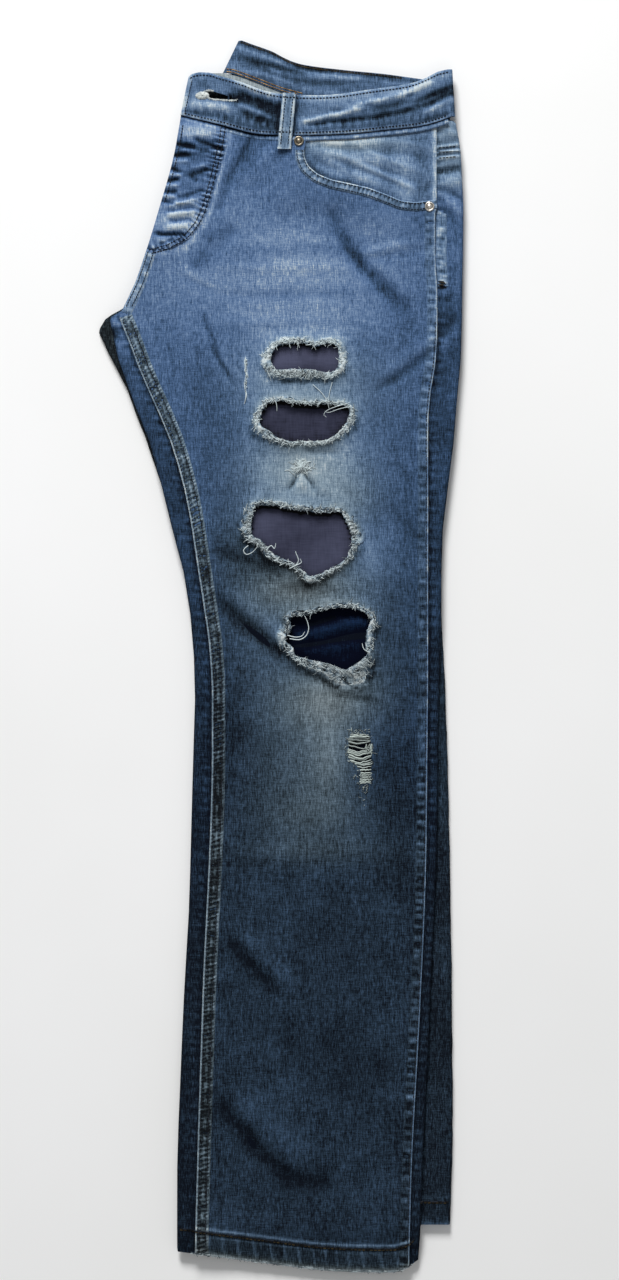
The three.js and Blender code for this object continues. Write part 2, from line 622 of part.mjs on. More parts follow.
function buttonhole() {
  const { eyeX, eyeY, length, width, lean } = BUTTONHOLE;
  const along = [Math.cos(lean), Math.sin(lean)];
  const turn = (x, y, start) =>
    Array.from({ length: 7 }, (_, i) => {
      const angle = lean + start + (Math.PI * i) / 6;
      return [x + (Math.cos(angle) * width) / 2, y + (Math.sin(angle) * width) / 2];
    });
  return [
    ...turn(eyeX, eyeY, Math.PI / 2),
    ...turn(eyeX + along[0] * length, eyeY + along[1] * length, -Math.PI / 2),
  ];
}

// Left back waistband, inside face up, from the fold at the centre back to the side.
const BACK_FOLD_REACH = 6;
const BACK_FOLD_SLIM = 0.45; // how much of its thickness is pressed out at the fold
function backBand() {
  const right = 152 - (FRONT_BAND_UNDERSIDE - BACK_BAND_MIDDLE + BAND_CLOTH * 1.5) / 2 - GAP;
  const low = { left: -50, right };
  const high = { left: -36.5, right: right - 2.5 };
  return wallGeometry(gridOf(BAND_ROWS, BAND_COLUMNS, (down, along) => {
    const left = mix(high.left, low.left, down);
    const x = mix(left, mix(high.right, low.right, down), along);
    const y = mix(backBandTop(x), backWaistSeam(x), down);
    const fall = 1 - step(0, BACK_FOLD_REACH, x - left);
    const cloth = BAND_CLOTH * (1 - BACK_FOLD_SLIM * fall);
    return levelCell(x, y, BACK_BAND_MIDDLE - BAND_CLOTH / 2, cloth);
  }));
}

// Pocket facing: shows inside the pocket's scoop, and runs on under the front panel's edge.
function facing() {
  return wallGeometry(gridOf(FACING_ROWS, FACING_COLUMNS, (down, along) => {
    const x = mix(FACING_LEFT, edge.frontRight(FACING_LOW_LEFT.y), along);
    const y = mix(waistSeam(x) - GAP, facingEdge(x) - FACING_MARGIN, down);
    return levelCell(x, y, FRONT_UNDERSIDE, CLOTH);
  }));
}

// Lining cloth behind the three upper rips, resting on the inside of the back panel.
function lining() {
  const { left, right, top, bottom, rows, columns } = LINING;
  return wallGeometry(gridOf(rows, columns, (down, along) =>
    levelCell(mix(left, right, along), mix(top, bottom, down), LINING_UNDERSIDE, LINING_CLOTH)));
}

// Belt loop: a folded strip sewn down at the band's top edge and on the panel below the waist seam.
function beltLoop(under) {
  const { topX, topY, footX, footY, width, cloth, bow, rows } = BELT_LOOP;
  const columns = [-0.5, 0, 0.5];
  const probe = [-4, -2, 0, 2, 4];
  const grid = Array.from({ length: rows }, (_, i) => {
    const t = i / (rows - 1);
    const x = mix(topX, footX, t);
    const y = mix(topY, footY, t);
    const tops = probe.flatMap((dy) => columns.flatMap((c) =>
      under.map((mesh) => topOf(mesh, x + c * (width + 2), y + dy) ?? 0)));
    const rest = Math.max(...tops) + GAP + bow * Math.sin(Math.PI * t) ** 2;
    return columns.map((c) => levelCell(x + c * width, y, rest, cloth));
  });
  return wallGeometry(grid);
}

// A thin 3-sided yarn through points, tapering to its tip.
function yarn(points, thickness) {
  const rings = points.map((p, i) => {
    const [before, after] = [points[Math.max(i - 1, 0)], points[Math.min(i + 1, points.length - 1)]];
    const along = after.clone().sub(before).normalize();
    const beside = point(-along.y, along.x, 0).normalize();
    const up = along.clone().cross(beside);
    const size = thickness * (1 - (0.45 * i) / (points.length - 1));
    return [0, 1, 2].map((k) => {
      const angle = (k * 2 * Math.PI) / 3;
      return p.clone()
        .addScaledVector(beside, Math.cos(angle) * size)
        .addScaledVector(up, Math.sin(angle) * size);
    });
  });
  return ringsGeometry(rings.toReversed(), false);
}

// Frayed edge of a rip: a narrow strip that lies on the panel round the hole, with loose yarns fused to it.
function fray(rip, panel, seed) {
  const line = ripLine(rip, RIP_POINTS);
  const outward = line.map((_, i) => {
    const [before, after] = [line.at(i - 1), line[(i + 1) % line.length]];
    const [dx, dy] = [after[0] - before[0], after[1] - before[1]];
    const length = Math.hypot(dx, dy);
    return [dy / length, -dx / length];
  });
  const on = (x, y, lift) => point(x, y, topOf(panel, x, y) + FRAY.clearance + lift);
  const away = (i, distance, lift) =>
    on(line[i][0] + outward[i][0] * distance, line[i][1] + outward[i][1] * distance, lift);
  const strip = line.map((_, i) => {
    const width = FRAY.width * (0.7 + 0.6 * scatter(seed + i));
    return [
      away(i, FRAY.inset, 0), away(i, FRAY.inset + width, 0),
      away(i, FRAY.inset + width * 0.8, FRAY.height), away(i, FRAY.inset + 0.3, FRAY.height),
    ];
  });
  const strands = Array.from({ length: FRAY.strands }, (_, s) => {
    const i = Math.floor((s + 0.6 * scatter(seed + 50 + s)) * (line.length / FRAY.strands)) % line.length;
    const reach = FRAY.reach * (0.55 + 0.7 * scatter(seed + 90 + s)) * (s % 3 === 0 ? 1 : -1);
    const drift = (scatter(seed + 130 + s) - 0.5) * 5;
    const [ox, oy] = outward[i];
    const root = FRAY.inset + FRAY.width * 0.4;
    return [0, 0.55, 1].map((t) => {
      const x = line[i][0] + ox * (root + reach * t) - oy * drift * t * t;
      const y = line[i][1] + oy * (root + reach * t) + ox * drift * t * t;
      return on(x, y, FRAY.height / 2 + FRAY.rise * t);
    });
  });
  const band = solidOf(ringsGeometry(strip, true));
  return geometryOf(strands.reduce((solid, points) => solid.add(solidOf(yarn(points, FRAY.strand))), band));
}

// Crosswise yarns that still bridge the small worn window, fused to a strip round its edge.
function ladderYarns(panel) {
  const { left, right, top, bottom, narrowing, rungs, rung, sag, frame } = LADDER;
  const middle = [(left + right) / 2, (top + bottom) / 2];
  const grown = (distance) => ladderOutline.map(([x, y]) =>
    [x + Math.sign(x - middle[0]) * distance, y + Math.sign(y - middle[1]) * distance]);
  const [near, far] = [grown(FRAY.inset), grown(FRAY.inset + frame)];
  const on = ([x, y], lift) => point(x, y, topOf(panel, x, y) + FRAY.clearance + lift);
  const strip = near.map((_, i) => [
    on(near[i], 0), on(far[i], 0), on(far[i], FRAY.height), on(near[i], FRAY.height),
  ]);
  const bars = Array.from({ length: rungs }, (_, i) => {
    const t = (i + 0.7) / (rungs + 0.4);
    const y = mix(top, bottom, t);
    const start = left + narrowing * step(0.5, 1, t) - frame * 0.5 - FRAY.inset;
    const end = right + frame * 0.5 + FRAY.inset;
    return [0, 0.5, 1].map((s) =>
      on([mix(start, end, s), y - sag * Math.sin(Math.PI * s) * (1 - t)], FRAY.height / 2));
  });
  const band = solidOf(ringsGeometry(strip, true));
  return geometryOf(bars.reduce((solid, points) => solid.add(solidOf(yarn(points, rung))), band));
}

// A domed rivet with a nub in its middle, seated on the highest cloth under it.
function rivet([x, y], under) {
  const { radius, rim, height, nub, sides } = RIVET;
  const profile = [
    [0, 0], [radius, 0], [radius, height * 0.35], [rim, height], [nub * 1.7, height * 0.8],
    [nub, height * 1.25], [0, height * 1.35],
  ].map(([r, z]) => new THREE.Vector2(r, z));
  const ring = Array.from({ length: sides }, (_, i) => (i * 2 * Math.PI) / sides);
  const rest = Math.max(...[0, radius / 2, radius].flatMap((r) => ring.flatMap((angle) =>
    under.map((mesh) => topOf(mesh, x + Math.cos(angle) * r, y + Math.sin(angle) * r) ?? 0))));
  return new THREE.LatheGeometry(profile, sides).rotateX(Math.PI / 2).translate(x, y, rest + GAP);
}

const jeans = new THREE.Group();
function add(name, geometry, material) {
  const mesh = new THREE.Mesh(geometry, material);
  mesh.name = name;
  jeans.add(mesh);
  return mesh;
}

const panel = frontPanel();
const wholePanel = new THREE.Mesh(panel);
const bandSolid = solidOf(frontBand()).subtract(cutter(buttonhole()));

add("right_half", underHalf(), materials.right_half);
add("left_back", backPanel(), materials.left_back);
add("left_yoke", yoke(), materials.left_yoke);
add("waistband_back", backBand(), materials.waistband_back);
add("rip_backing", lining(), materials.rip_backing);
add("pocket_facing", facing(), materials.pocket_facing);
const front = add("left_front", rippedFront(panel), materials.left_front);
const band = add("waistband_front", geometryOf(bandSolid), materials.waistband_front);
add("belt_loop", beltLoop([front, band]), materials.belt_loop);
for (const [name, place] of Object.entries(RIVET_PLACES)) {
  add(name, rivet(place, [front]), materials[name]);
}
RIPS.forEach((rip, i) => add(rip.name, fray(rip, wholePanel, 200 * (i + 1)), materials.fray));
add("ladder_threads", ladderYarns(wholePanel), materials.fray);

export default jeans;
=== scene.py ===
import logging
import math
from collections.abc import Callable, Iterable, Sequence
from dataclasses import dataclass, field
from enum import Enum

import bpy
import numpy as np
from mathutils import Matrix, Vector
from mathutils.bvhtree import BVHTree


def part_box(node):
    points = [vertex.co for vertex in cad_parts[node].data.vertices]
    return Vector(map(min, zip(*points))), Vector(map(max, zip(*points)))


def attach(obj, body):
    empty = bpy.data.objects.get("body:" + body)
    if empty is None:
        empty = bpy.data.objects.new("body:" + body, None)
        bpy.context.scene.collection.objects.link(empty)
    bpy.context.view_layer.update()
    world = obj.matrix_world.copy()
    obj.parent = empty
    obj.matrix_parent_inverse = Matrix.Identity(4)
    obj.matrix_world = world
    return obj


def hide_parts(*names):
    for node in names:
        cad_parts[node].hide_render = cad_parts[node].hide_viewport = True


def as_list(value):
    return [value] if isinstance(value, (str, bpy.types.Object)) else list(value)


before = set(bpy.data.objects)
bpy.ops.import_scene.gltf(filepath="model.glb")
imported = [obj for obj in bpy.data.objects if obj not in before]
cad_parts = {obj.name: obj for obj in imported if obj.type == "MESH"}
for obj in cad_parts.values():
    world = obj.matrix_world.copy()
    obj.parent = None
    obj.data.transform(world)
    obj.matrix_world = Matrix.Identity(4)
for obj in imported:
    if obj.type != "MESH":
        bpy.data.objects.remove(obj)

MM = 0.001
BODY = "root"

Array = np.ndarray
Point = tuple[float, float]
Colour = tuple[float, float, float, float]
Height = Callable[[Array, Array], Array]
WearAndShade = Callable[[Array, Array], tuple[Array, Array]]
Material, Piece, Socket = bpy.types.Material, bpy.types.Object, bpy.types.NodeSocket
log = logging.getLogger("jeans")


# Shapes and measures

def ease(start: float, end: float, value: Array) -> Array:
    """Returns 0 up to start and 1 from end on, smooth between them; start may be the larger."""
    t = np.clip((np.asarray(value, float) - start) / (end - start), 0.0, 1.0)
    return t * t * (3.0 - 2.0 * t)


def swell(offset: Array, reach: float) -> Array:
    """Returns a soft swell: 1 at offset 0, falling away over reach."""
    return np.exp(-((np.asarray(offset, float) / reach) ** 2))


def stripes(inset: Array, *rows: tuple[float, float, Array | float]) -> Array:
    """Returns stripes along an edge, each given as its distance in from the edge, its reach and its amount."""
    return sum(amount * swell(inset - place, reach) for place, reach, amount in rows)


def corners(node: str) -> tuple[Array, Array]:
    """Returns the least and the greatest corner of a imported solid's box, in mm."""
    low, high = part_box(node)
    return np.array(low) / MM, np.array(high) / MM


def run_length(line: Array) -> Array:
    """Returns how far along a line each of its points is."""
    return np.concatenate([[0], np.cumsum(np.hypot(*np.diff(line, axis=0).T))])


def linear(red: int, green: int, blue: int) -> Colour:
    """Returns a colour given in 0-255 screen values as linear light, with full alpha."""
    def channel(value: int) -> float:
        """Returns one channel in linear light."""
        v = value / 255.0
        return v / 12.92 if v <= 0.04045 else ((v + 0.055) / 1.055) ** 2.4
    return channel(red), channel(green), channel(blue), 1.0


@dataclass(frozen=True)
class Line:
    """A measure that changes along an edge or a seam, read between its points."""

    places: Array
    values: Array

    def at(self, place: Array) -> Array:
        """Returns the measure at each place, held level past the ends."""
        return np.interp(place, self.places, self.values)

    def between(self, low: float, high: float) -> "Line":
        """Returns the line without what lies past two places."""
        inside = (self.places > low) & (self.places < high)
        return Line(self.places[inside], self.values[inside])

    def then(self, other: "Line") -> "Line":
        """Returns this line carried on by another."""
        return Line(np.concatenate([self.places, other.places]), np.concatenate([self.values, other.values]))

    @classmethod
    def through(cls, *points: tuple[float, float]) -> "Line":
        """Returns the line through (place, value) points, in rising order of place."""
        places, values = zip(*sorted(points))
        return cls(np.array(places, float), np.array(values, float))


@dataclass(frozen=True)
class Lattice:
    """Values on an even grid, read between its points as a smooth surface."""

    low: Point
    spacing: Point
    values: Array

    LOW = (-240.0, -650.0)
    SPAN = (480, 1300)
    SWING = 1.8
    OWN_SHARE = 0.36

    def at(self, x: Array, y: Array) -> Array:
        """Returns the smooth value at each (x, y), by cubic blending of the nearest grid points.

        Args:
            x: places across, in mm.
            y: places along, in mm.

        Returns:
            The values there.
        """
        across = (np.asarray(x, float) - self.low[0]) / self.spacing[0]
        along = (np.asarray(y, float) - self.low[1]) / self.spacing[1]
        column, row = np.floor(across).astype(int), np.floor(along).astype(int)
        total = 0.0
        rows, columns = self.values.shape
        for j, down in enumerate(self._weights(along - row)):
            for i, over in enumerate(self._weights(across - column)):
                near = self.values[np.clip(row + j - 1, 0, rows - 1), np.clip(column + i - 1, 0, columns - 1)]
                total = total + down * over * near
        return total

    @staticmethod
    def _weights(t: Array) -> tuple[Array, Array, Array, Array]:
        """Returns the cubic blending weights of the four nearest grid points."""
        s = 1.0 - t
        return s**3 / 6, (3 * t**3 - 6 * t**2 + 4) / 6, (3 * s**3 - 6 * s**2 + 4) / 6, t**3 / 6

    @classmethod
    def unevenness(cls, seed: int, across: float, along: float) -> "Lattice":
        """Returns a repeatable random surface over the garment, roughly from -1 to 1.

        Args:
            seed: which surface.
            across: size of its lumps in X, in mm.
            along: size of its lumps in Y, in mm.

        Returns:
            The surface.
        """
        shape = (int(cls.SPAN[1] / along) + 4, int(cls.SPAN[0] / across) + 4)
        values = np.random.default_rng(seed).uniform(-cls.SWING, cls.SWING, shape)
        return cls(cls.LOW, (across, along), values)

    @classmethod
    def top_of(cls, node: str, spacing: float = 5.0, passes: int = 2) -> "Lattice":
        """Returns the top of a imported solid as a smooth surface, carried on over its holes.

        Args:
            node: the solid's name.
            spacing: grid spacing in mm.
            passes: how often the grid is smoothed.

        Returns:
            The top's height above the ground.
        """
        low, high = corners(node)
        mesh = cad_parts[node].data
        tree = BVHTree.FromPolygons([v.co for v in mesh.vertices], [p.vertices for p in mesh.polygons])
        xs = np.arange(low[0] - spacing, high[0] + 2 * spacing, spacing)
        ys = np.arange(low[1] - spacing, high[1] + 2 * spacing, spacing)
        grid = np.full((len(ys), len(xs)), np.nan)
        for j, y in enumerate(ys):
            for i, x in enumerate(xs):
                hit = tree.ray_cast(Vector((x * MM, y * MM, 1.0)), Vector((0, 0, -1)))[0]
                if hit is not None:
                    grid[j, i] = hit.z / MM
        while np.isnan(grid).any():
            with np.errstate(all="ignore"):
                filled = np.nanmean(cls._neighbours(grid), axis=0)
            grid = np.where(np.isnan(grid), filled, grid)
        for _ in range(passes):
            grid = grid * cls.OWN_SHARE + cls._neighbours(grid).mean(axis=0) * (1 - cls.OWN_SHARE)
        return cls((xs[0], ys[0]), (spacing, spacing), grid)

    @staticmethod
    def _neighbours(grid: Array) -> Array:
        """Returns the four neighbours of every grid point, stacked."""
        padded = np.pad(grid, 1, mode="edge")
        return np.stack([padded[:-2, 1:-1], padded[2:, 1:-1], padded[1:-1, :-2], padded[1:-1, 2:]])


class Outline:
    """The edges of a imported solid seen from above."""

    STEP = 3.0
    MARGIN = 0.4

    def __init__(self, node: str) -> None:
        """Reads the solid's mesh.

        Args:
            node: the solid's name.
        """
        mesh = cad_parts[node].data
        points = np.empty(len(mesh.vertices) * 3)
        mesh.vertices.foreach_get("co", points)
        edges = np.empty(len(mesh.edges) * 2, int)
        mesh.edges.foreach_get("vertices", edges)
        self.points = points.reshape(-1, 3) / MM
        self.starts = self.points[edges.reshape(-1, 2)[:, 0]]
        self.stops = self.points[edges.reshape(-1, 2)[:, 1]]

    def sides(self) -> tuple[Line, Line]:
        """Returns the least and greatest X for each Y."""
        return self._extents(1)

    def ends(self) -> tuple[Line, Line]:
        """Returns the least and greatest Y for each X."""
        return self._extents(0)

    def _extents(self, axis: int) -> tuple[Line, Line]:
        """Returns the two edges met by cuts across one axis.

        Args:
            axis: 0 to cut along X, 1 along Y.

        Returns:
            The lesser and the greater edge.
        """
        low, high = self.points[:, axis].min() + self.MARGIN, self.points[:, axis].max() - self.MARGIN
        places = np.linspace(low, high, max(3, int((high - low) / self.STEP)))
        least, most = [], []
        for place in places:
            a, b = self.starts[:, axis] - place, self.stops[:, axis] - place
            crossing = (a * b <= 0) & (a != b)
            t = a[crossing] / (a[crossing] - b[crossing])
            other = self.starts[crossing, 1 - axis] * (1 - t) + self.stops[crossing, 1 - axis] * t
            least.append(other.min())
            most.append(other.max())
        return Line(places, np.array(least)), Line(places, np.array(most))


class Loop:
    """A closed line on the cloth, such as the edge of a rip, running anticlockwise."""

    def __init__(self, bends: Sequence[Point], spacing: float = 1.2, ragged: float = 0.0, seed: int = 0) -> None:
        """Draws a smooth line through its bends and roughens it.

        Args:
            bends: (x, y) points in mm.
            spacing: distance between the points that are kept.
            ragged: how far the edge strays from the smooth line.
            seed: which stray.
        """
        smooth = self._smooth(np.array(bends, float))
        step = np.roll(smooth, -1, axis=0) - smooth
        if (smooth[:, 0] * step[:, 1] - smooth[:, 1] * step[:, 0]).sum() < 0:
            smooth = smooth[::-1]
        self.points = self._spaced(smooth, spacing)
        if ragged:
            stray = np.random.default_rng(seed).normal(0, ragged, len(self.points))
            stray = 0.55 * stray + 0.45 * np.roll(stray, 1)
            self.points = self.points + self.outward() * stray[:, None]
        self.low, self.high = self.points.min(axis=0), self.points.max(axis=0)

    @staticmethod
    def _smooth(bends: Array, steps: int = 12) -> Array:
        """Returns a closed smooth curve through the bends."""
        before, after, beyond = (np.roll(bends, -k, axis=0) for k in (-1, 1, 2))
        pieces = []
        for t in np.linspace(0, 1, steps, endpoint=False):
            pieces.append(0.5 * (2 * bends + (after - before) * t
                                 + (2 * before - 5 * bends + 4 * after - beyond) * t**2
                                 + (3 * bends - before - 3 * after + beyond) * t**3))
        return np.stack(pieces, axis=1).reshape(-1, 2)

    @staticmethod
    def _spaced(points: Array, spacing: float) -> Array:
        """Returns points evenly spaced round the closed line."""
        closed = np.vstack([points, points[:1]])
        along = run_length(closed)
        places = np.linspace(0, along[-1], max(8, int(along[-1] / spacing)), endpoint=False)
        return np.stack([np.interp(places, along, closed[:, k]) for k in (0, 1)], axis=1)

    def outward(self) -> Array:
        """Returns the direction away from the middle at each point."""
        run = np.roll(self.points, -1, axis=0) - np.roll(self.points, 1, axis=0)
        run = run / np.maximum(np.hypot(run[:, 0], run[:, 1]), 1e-6)[:, None]
        return np.stack([run[:, 1], -run[:, 0]], axis=1)

    def distance(self, x: Array, y: Array, reach: float = 40.0) -> tuple[Array, Array]:
        """Measures how far points are from the line.

        Args:
            x: places across.
            y: places along.
            reach: distance past which a point counts as that far.

        Returns:
            The distance, below 0 inside the line, and the nearest point on it.
        """
        flat = np.stack([np.ravel(x), np.ravel(y)], axis=1)
        best = np.full(len(flat), reach)
        nearest = flat.copy()
        close = np.flatnonzero(np.all((flat > self.low - reach) & (flat < self.high + reach), axis=1))
        starts, stops = self.points, np.roll(self.points, -1, axis=0)
        run = stops - starts
        size = np.maximum((run**2).sum(axis=1), 1e-9)
        slope = run[:, 0] / np.where(run[:, 1] == 0, 1e-9, run[:, 1])
        for part in np.array_split(close, len(close) // 1500 + 1) if len(close) else []:
            near = flat[part]
            away_x, away_y = near[:, :1] - starts[:, 0], near[:, 1:] - starts[:, 1]
            t = np.clip((away_x * run[:, 0] + away_y * run[:, 1]) / size, 0, 1)
            gaps = (away_x - t * run[:, 0]) ** 2 + (away_y - t * run[:, 1]) ** 2
            k = gaps.argmin(axis=1)
            rows = np.arange(len(part))
            spans = (starts[:, 1] > near[:, 1:]) != (stops[:, 1] > near[:, 1:])
            crossings = (spans & (away_x < away_y * slope)).sum(axis=1)
            gap = np.minimum(np.sqrt(gaps[rows, k]), reach)
            best[part] = np.where(crossings % 2 == 1, -gap, gap)
            nearest[part] = starts[k] + t[rows, k][:, None] * run[k]
        return best.reshape(np.shape(x)), nearest


def spaced(points: Sequence[Point] | Array, spacing: float, fine: int = 40, soften: float = 8.0) -> Array:
    """Returns evenly spaced (x, y) points along an open smooth line.

    Args:
        points: bends of the line.
        spacing: distance between the points returned.
        fine: number of bends past which the line is smooth already.
        soften: length in mm over which the bends are rounded.

    Returns:
        The spaced points.
    """
    bends = np.array(points, float)
    along = run_length(bends)
    places = np.linspace(0, along[-1], max(3, int(along[-1] / spacing) + 1))
    line = np.stack([np.interp(places, along, bends[:, k]) for k in (0, 1)], axis=1)
    if len(bends) > fine:
        return line
    for _ in range(int(soften / spacing) + 1):
        line[1:-1] = line[1:-1] * 0.5 + (line[:-2] + line[2:]) * 0.25
    return line


def beside(line: Array) -> Array:
    """Returns the direction to the left of an open line at each of its points."""
    run = np.gradient(line, axis=0)
    run = run / np.maximum(np.hypot(run[:, 0], run[:, 1]), 1e-6)[:, None]
    return np.stack([-run[:, 1], run[:, 0]], axis=1)


# Meshes

@dataclass
class Draft:
    """A mesh in the making: points in mm, faces of four corners (-1 for none), and values at the points."""

    points: Array
    faces: Array
    values: dict[str, Array] = field(default_factory=dict)

    @classmethod
    def grid(cls, points: Array, around: bool = False, **values: Array) -> "Draft":
        """Returns a sheet through rows and columns of points.

        Args:
            points: rows by columns by 3.
            around: whether the last column joins the first.
            values: for each name, rows by columns.

        Returns:
            The sheet.
        """
        rows, columns = points.shape[:2]
        number = np.arange(rows * columns).reshape(rows, columns)
        right = np.roll(number, -1, axis=1) if around else number[:, 1:]
        left = number if around else number[:, :-1]
        faces = np.stack([left[:-1], left[1:], right[1:], right[:-1]], axis=-1).reshape(-1, 4)
        spread = {k: np.broadcast_to(v, (rows, columns)).ravel() for k, v in values.items()}
        return cls(points.reshape(-1, 3), faces, spread)

    @classmethod
    def laid(cls, x: Array, y: Array, z: Array, fade: Array, grey: Array | float = 0.0) -> "Draft":
        """Returns a sheet through rows and columns of places, with how pale and how grey it is."""
        return cls.grid(np.stack([x, y, z], axis=-1), fade=fade, grey=grey)

    def shell(self, inner: Array) -> "Draft":
        """Returns the sheet closed with a second face and a rim.

        Args:
            inner: a point behind each point of the sheet.

        Returns:
            The closed shell.
        """
        count = len(self.points)
        runs = np.concatenate([self.faces[:, [k, (k + 1) % 4]] for k in range(4)])
        codes, backward = runs[:, 0] * count + runs[:, 1], runs[:, 1] * count + runs[:, 0]
        rim = runs[~np.isin(codes, backward)]
        sides = np.stack([rim[:, 1], rim[:, 0], rim[:, 0] + count, rim[:, 1] + count], axis=1)
        return Draft(
            np.vstack([self.points, inner]),
            np.vstack([self.faces, self.faces[:, ::-1] + count, sides]),
            {k: np.concatenate([v, v]) for k, v in self.values.items()},
        )

    def thick(self, cloth: float | Array) -> "Draft":
        """Returns the sheet closed by a second face, that far straight below it."""
        below = self.points.copy()
        below[:, 2] -= np.ravel(cloth)
        return self.shell(below)

    def kept(self, keep: Array) -> "Draft":
        """Returns the part of the mesh whose points are kept.

        Args:
            keep: True for each point that stays.

        Returns:
            The mesh without the other points and their faces.
        """
        faces = self.faces[keep[self.faces].all(axis=1)]
        used = np.zeros(len(self.points), bool)
        used[faces.ravel()] = True
        number = np.cumsum(used) - 1
        return Draft(self.points[used], number[faces], {k: v[used] for k, v in self.values.items()})

    @staticmethod
    def joined(drafts: Iterable["Draft"]) -> "Draft":
        """Returns several meshes as one."""
        drafts = list(drafts)
        starts = np.cumsum([0] + [len(d.points) for d in drafts])
        return Draft(
            np.vstack([d.points for d in drafts]),
            np.vstack([np.where(d.faces < 0, -1, d.faces + start) for d, start in zip(drafts, starts)]),
            {k: np.concatenate([d.values[k] for d in drafts]) for k in drafts[0].values},
        )

    def area(self) -> float:
        """Returns the mesh's area in square metres."""
        a, b, c = (self.points[self.faces[:, k]] for k in range(3))
        d = self.points[np.where(self.faces[:, 3] < 0, self.faces[:, 2], self.faces[:, 3])]
        halves = np.linalg.norm(np.cross(b - a, c - a), axis=1) + np.linalg.norm(np.cross(c - a, d - a), axis=1)
        return float(halves.sum() / 2) * MM * MM

    def make(self, name: str, material: Material, crease: float = 50.0) -> Piece:
        """Makes the Blender object.

        Args:
            name: its name.
            material: its finish.
            crease: angle in degrees past which an edge shows as sharp.

        Returns:
            The object, linked to the scene.
        """
        mesh = bpy.data.meshes.new(name)
        faces = [tuple(f[:3]) if f[3] < 0 else tuple(f) for f in self.faces.tolist()]
        mesh.from_pydata((self.points * MM).tolist(), [], faces)
        for key, value in self.values.items():
            mesh.attributes.new(key, "FLOAT", "POINT").data.foreach_set("value", np.asarray(value, np.float32))
        mesh.validate()
        mesh.shade_smooth()
        mesh.set_sharp_from_angle(angle=math.radians(crease))
        mesh.materials.append(material)
        obj = bpy.data.objects.new(name, mesh)
        bpy.context.scene.collection.objects.link(obj)
        return obj


def yarn(path: Array, radius: float, fade: float, sides: int = 4, taper: float = 0.5) -> Draft:
    """Returns a yarn along a path.

    Args:
        path: points in mm.
        radius: half its thickness.
        fade: how pale it is.
        sides: how many sides it has.
        taper: how much thinner it is at its tip.

    Returns:
        The closed yarn.
    """
    run = np.gradient(path, axis=0)
    run = run / np.maximum(np.linalg.norm(run, axis=1), 1e-6)[:, None]
    flat = np.cross(run, (0.0, 0.0, 1.0))
    flat = flat / np.maximum(np.linalg.norm(flat, axis=1), 1e-6)[:, None]
    up = np.cross(flat, run)
    count = len(path)
    size = radius * (1 - taper * np.linspace(0, 1, count) ** 2)
    turn = np.linspace(0, 2 * math.pi, sides, endpoint=False)
    ring = np.cos(turn)[None, :, None] * flat[:, None] + np.sin(turn)[None, :, None] * up[:, None]
    ring = ring * size[:, None, None]
    body = Draft.grid(path[:, None] + ring, around=True, fade=np.full((count, sides), fade))
    first = list(range(sides))[::-1]
    last = [(count - 1) * sides + k for k in range(sides)]
    caps = [[loop[0], loop[k], loop[k + 1], -1] for loop in (first, last) for k in range(1, sides - 1)]
    return Draft(body.points, np.vstack([body.faces[:, ::-1], np.array(caps)[:, [0, 2, 1, 3]]]), body.values)


# Finishes

class Graph:
    """The nodes of one material, with its surface shader."""

    def __init__(self, name: str) -> None:
        """Starts a material with an empty surface.

        Args:
            name: the material's name.
        """
        self.material = bpy.data.materials.new(name)
        self.material.use_nodes = True
        self.tree = self.material.node_tree
        self.surface = self.tree.nodes["Principled BSDF"]

    def add(self, kind: str, inputs: dict | None = None, **settings) -> bpy.types.Node:
        """Adds a node.

        Args:
            kind: Blender's name of the node's type, after ShaderNode.
            inputs: for each input's name or number, a socket to link or a constant.
            settings: the node's own settings.

        Returns:
            The node.
        """
        node = self.tree.nodes.new("ShaderNode" + kind)
        for key, value in settings.items():
            setattr(node, key, value)
        self.feed(node, inputs or {})
        return node

    def feed(self, node: bpy.types.Node, inputs: dict) -> None:
        """Links or sets a node's inputs."""
        for key, value in inputs.items():
            if isinstance(value, Socket):
                self.tree.links.new(value, node.inputs[key])
            else:
                node.inputs[key].default_value = value

    def worn(self, name: str) -> Socket:
        """Returns a value that the mesh carries at its points."""
        return self.add("Attribute", attribute_name=name).outputs["Fac"]

    def threads(self, across: float, along: float, detail: float = 2.0) -> Socket:
        """Returns an uneven streak pattern in the cloth.

        Args:
            across: streaks for each metre across.
            along: streaks for each metre along.
            detail: how fine the unevenness goes.

        Returns:
            A value round 0.5.
        """
        place = self.add("TexCoord").outputs["Object"]
        scaled = self.add("VectorMath", {0: place, 1: (across, along, 300.0)}, operation="MULTIPLY")
        return self.add("TexNoise", {"Vector": scaled.outputs[0], "Scale": 1.0, "Detail": detail}).outputs["Fac"]

    def plus(self, value: Socket, amount: float, base: Socket | float) -> Socket:
        """Returns value times amount, plus base."""
        return self.add("Math", {0: value, 1: amount, 2: base}, operation="MULTIPLY_ADD").outputs[0]

    def ramp(self, value: Socket, stops: Sequence[tuple[float, tuple]]) -> Socket:
        """Returns the colour of a value between stops."""
        node = self.add("ValToRGB", {"Fac": value})
        elements = node.color_ramp.elements
        while len(elements) < len(stops):
            elements.new(1.0)
        for element, (place, colour) in zip(elements, stops):
            element.position, element.color = place, colour
        return node.outputs["Color"]


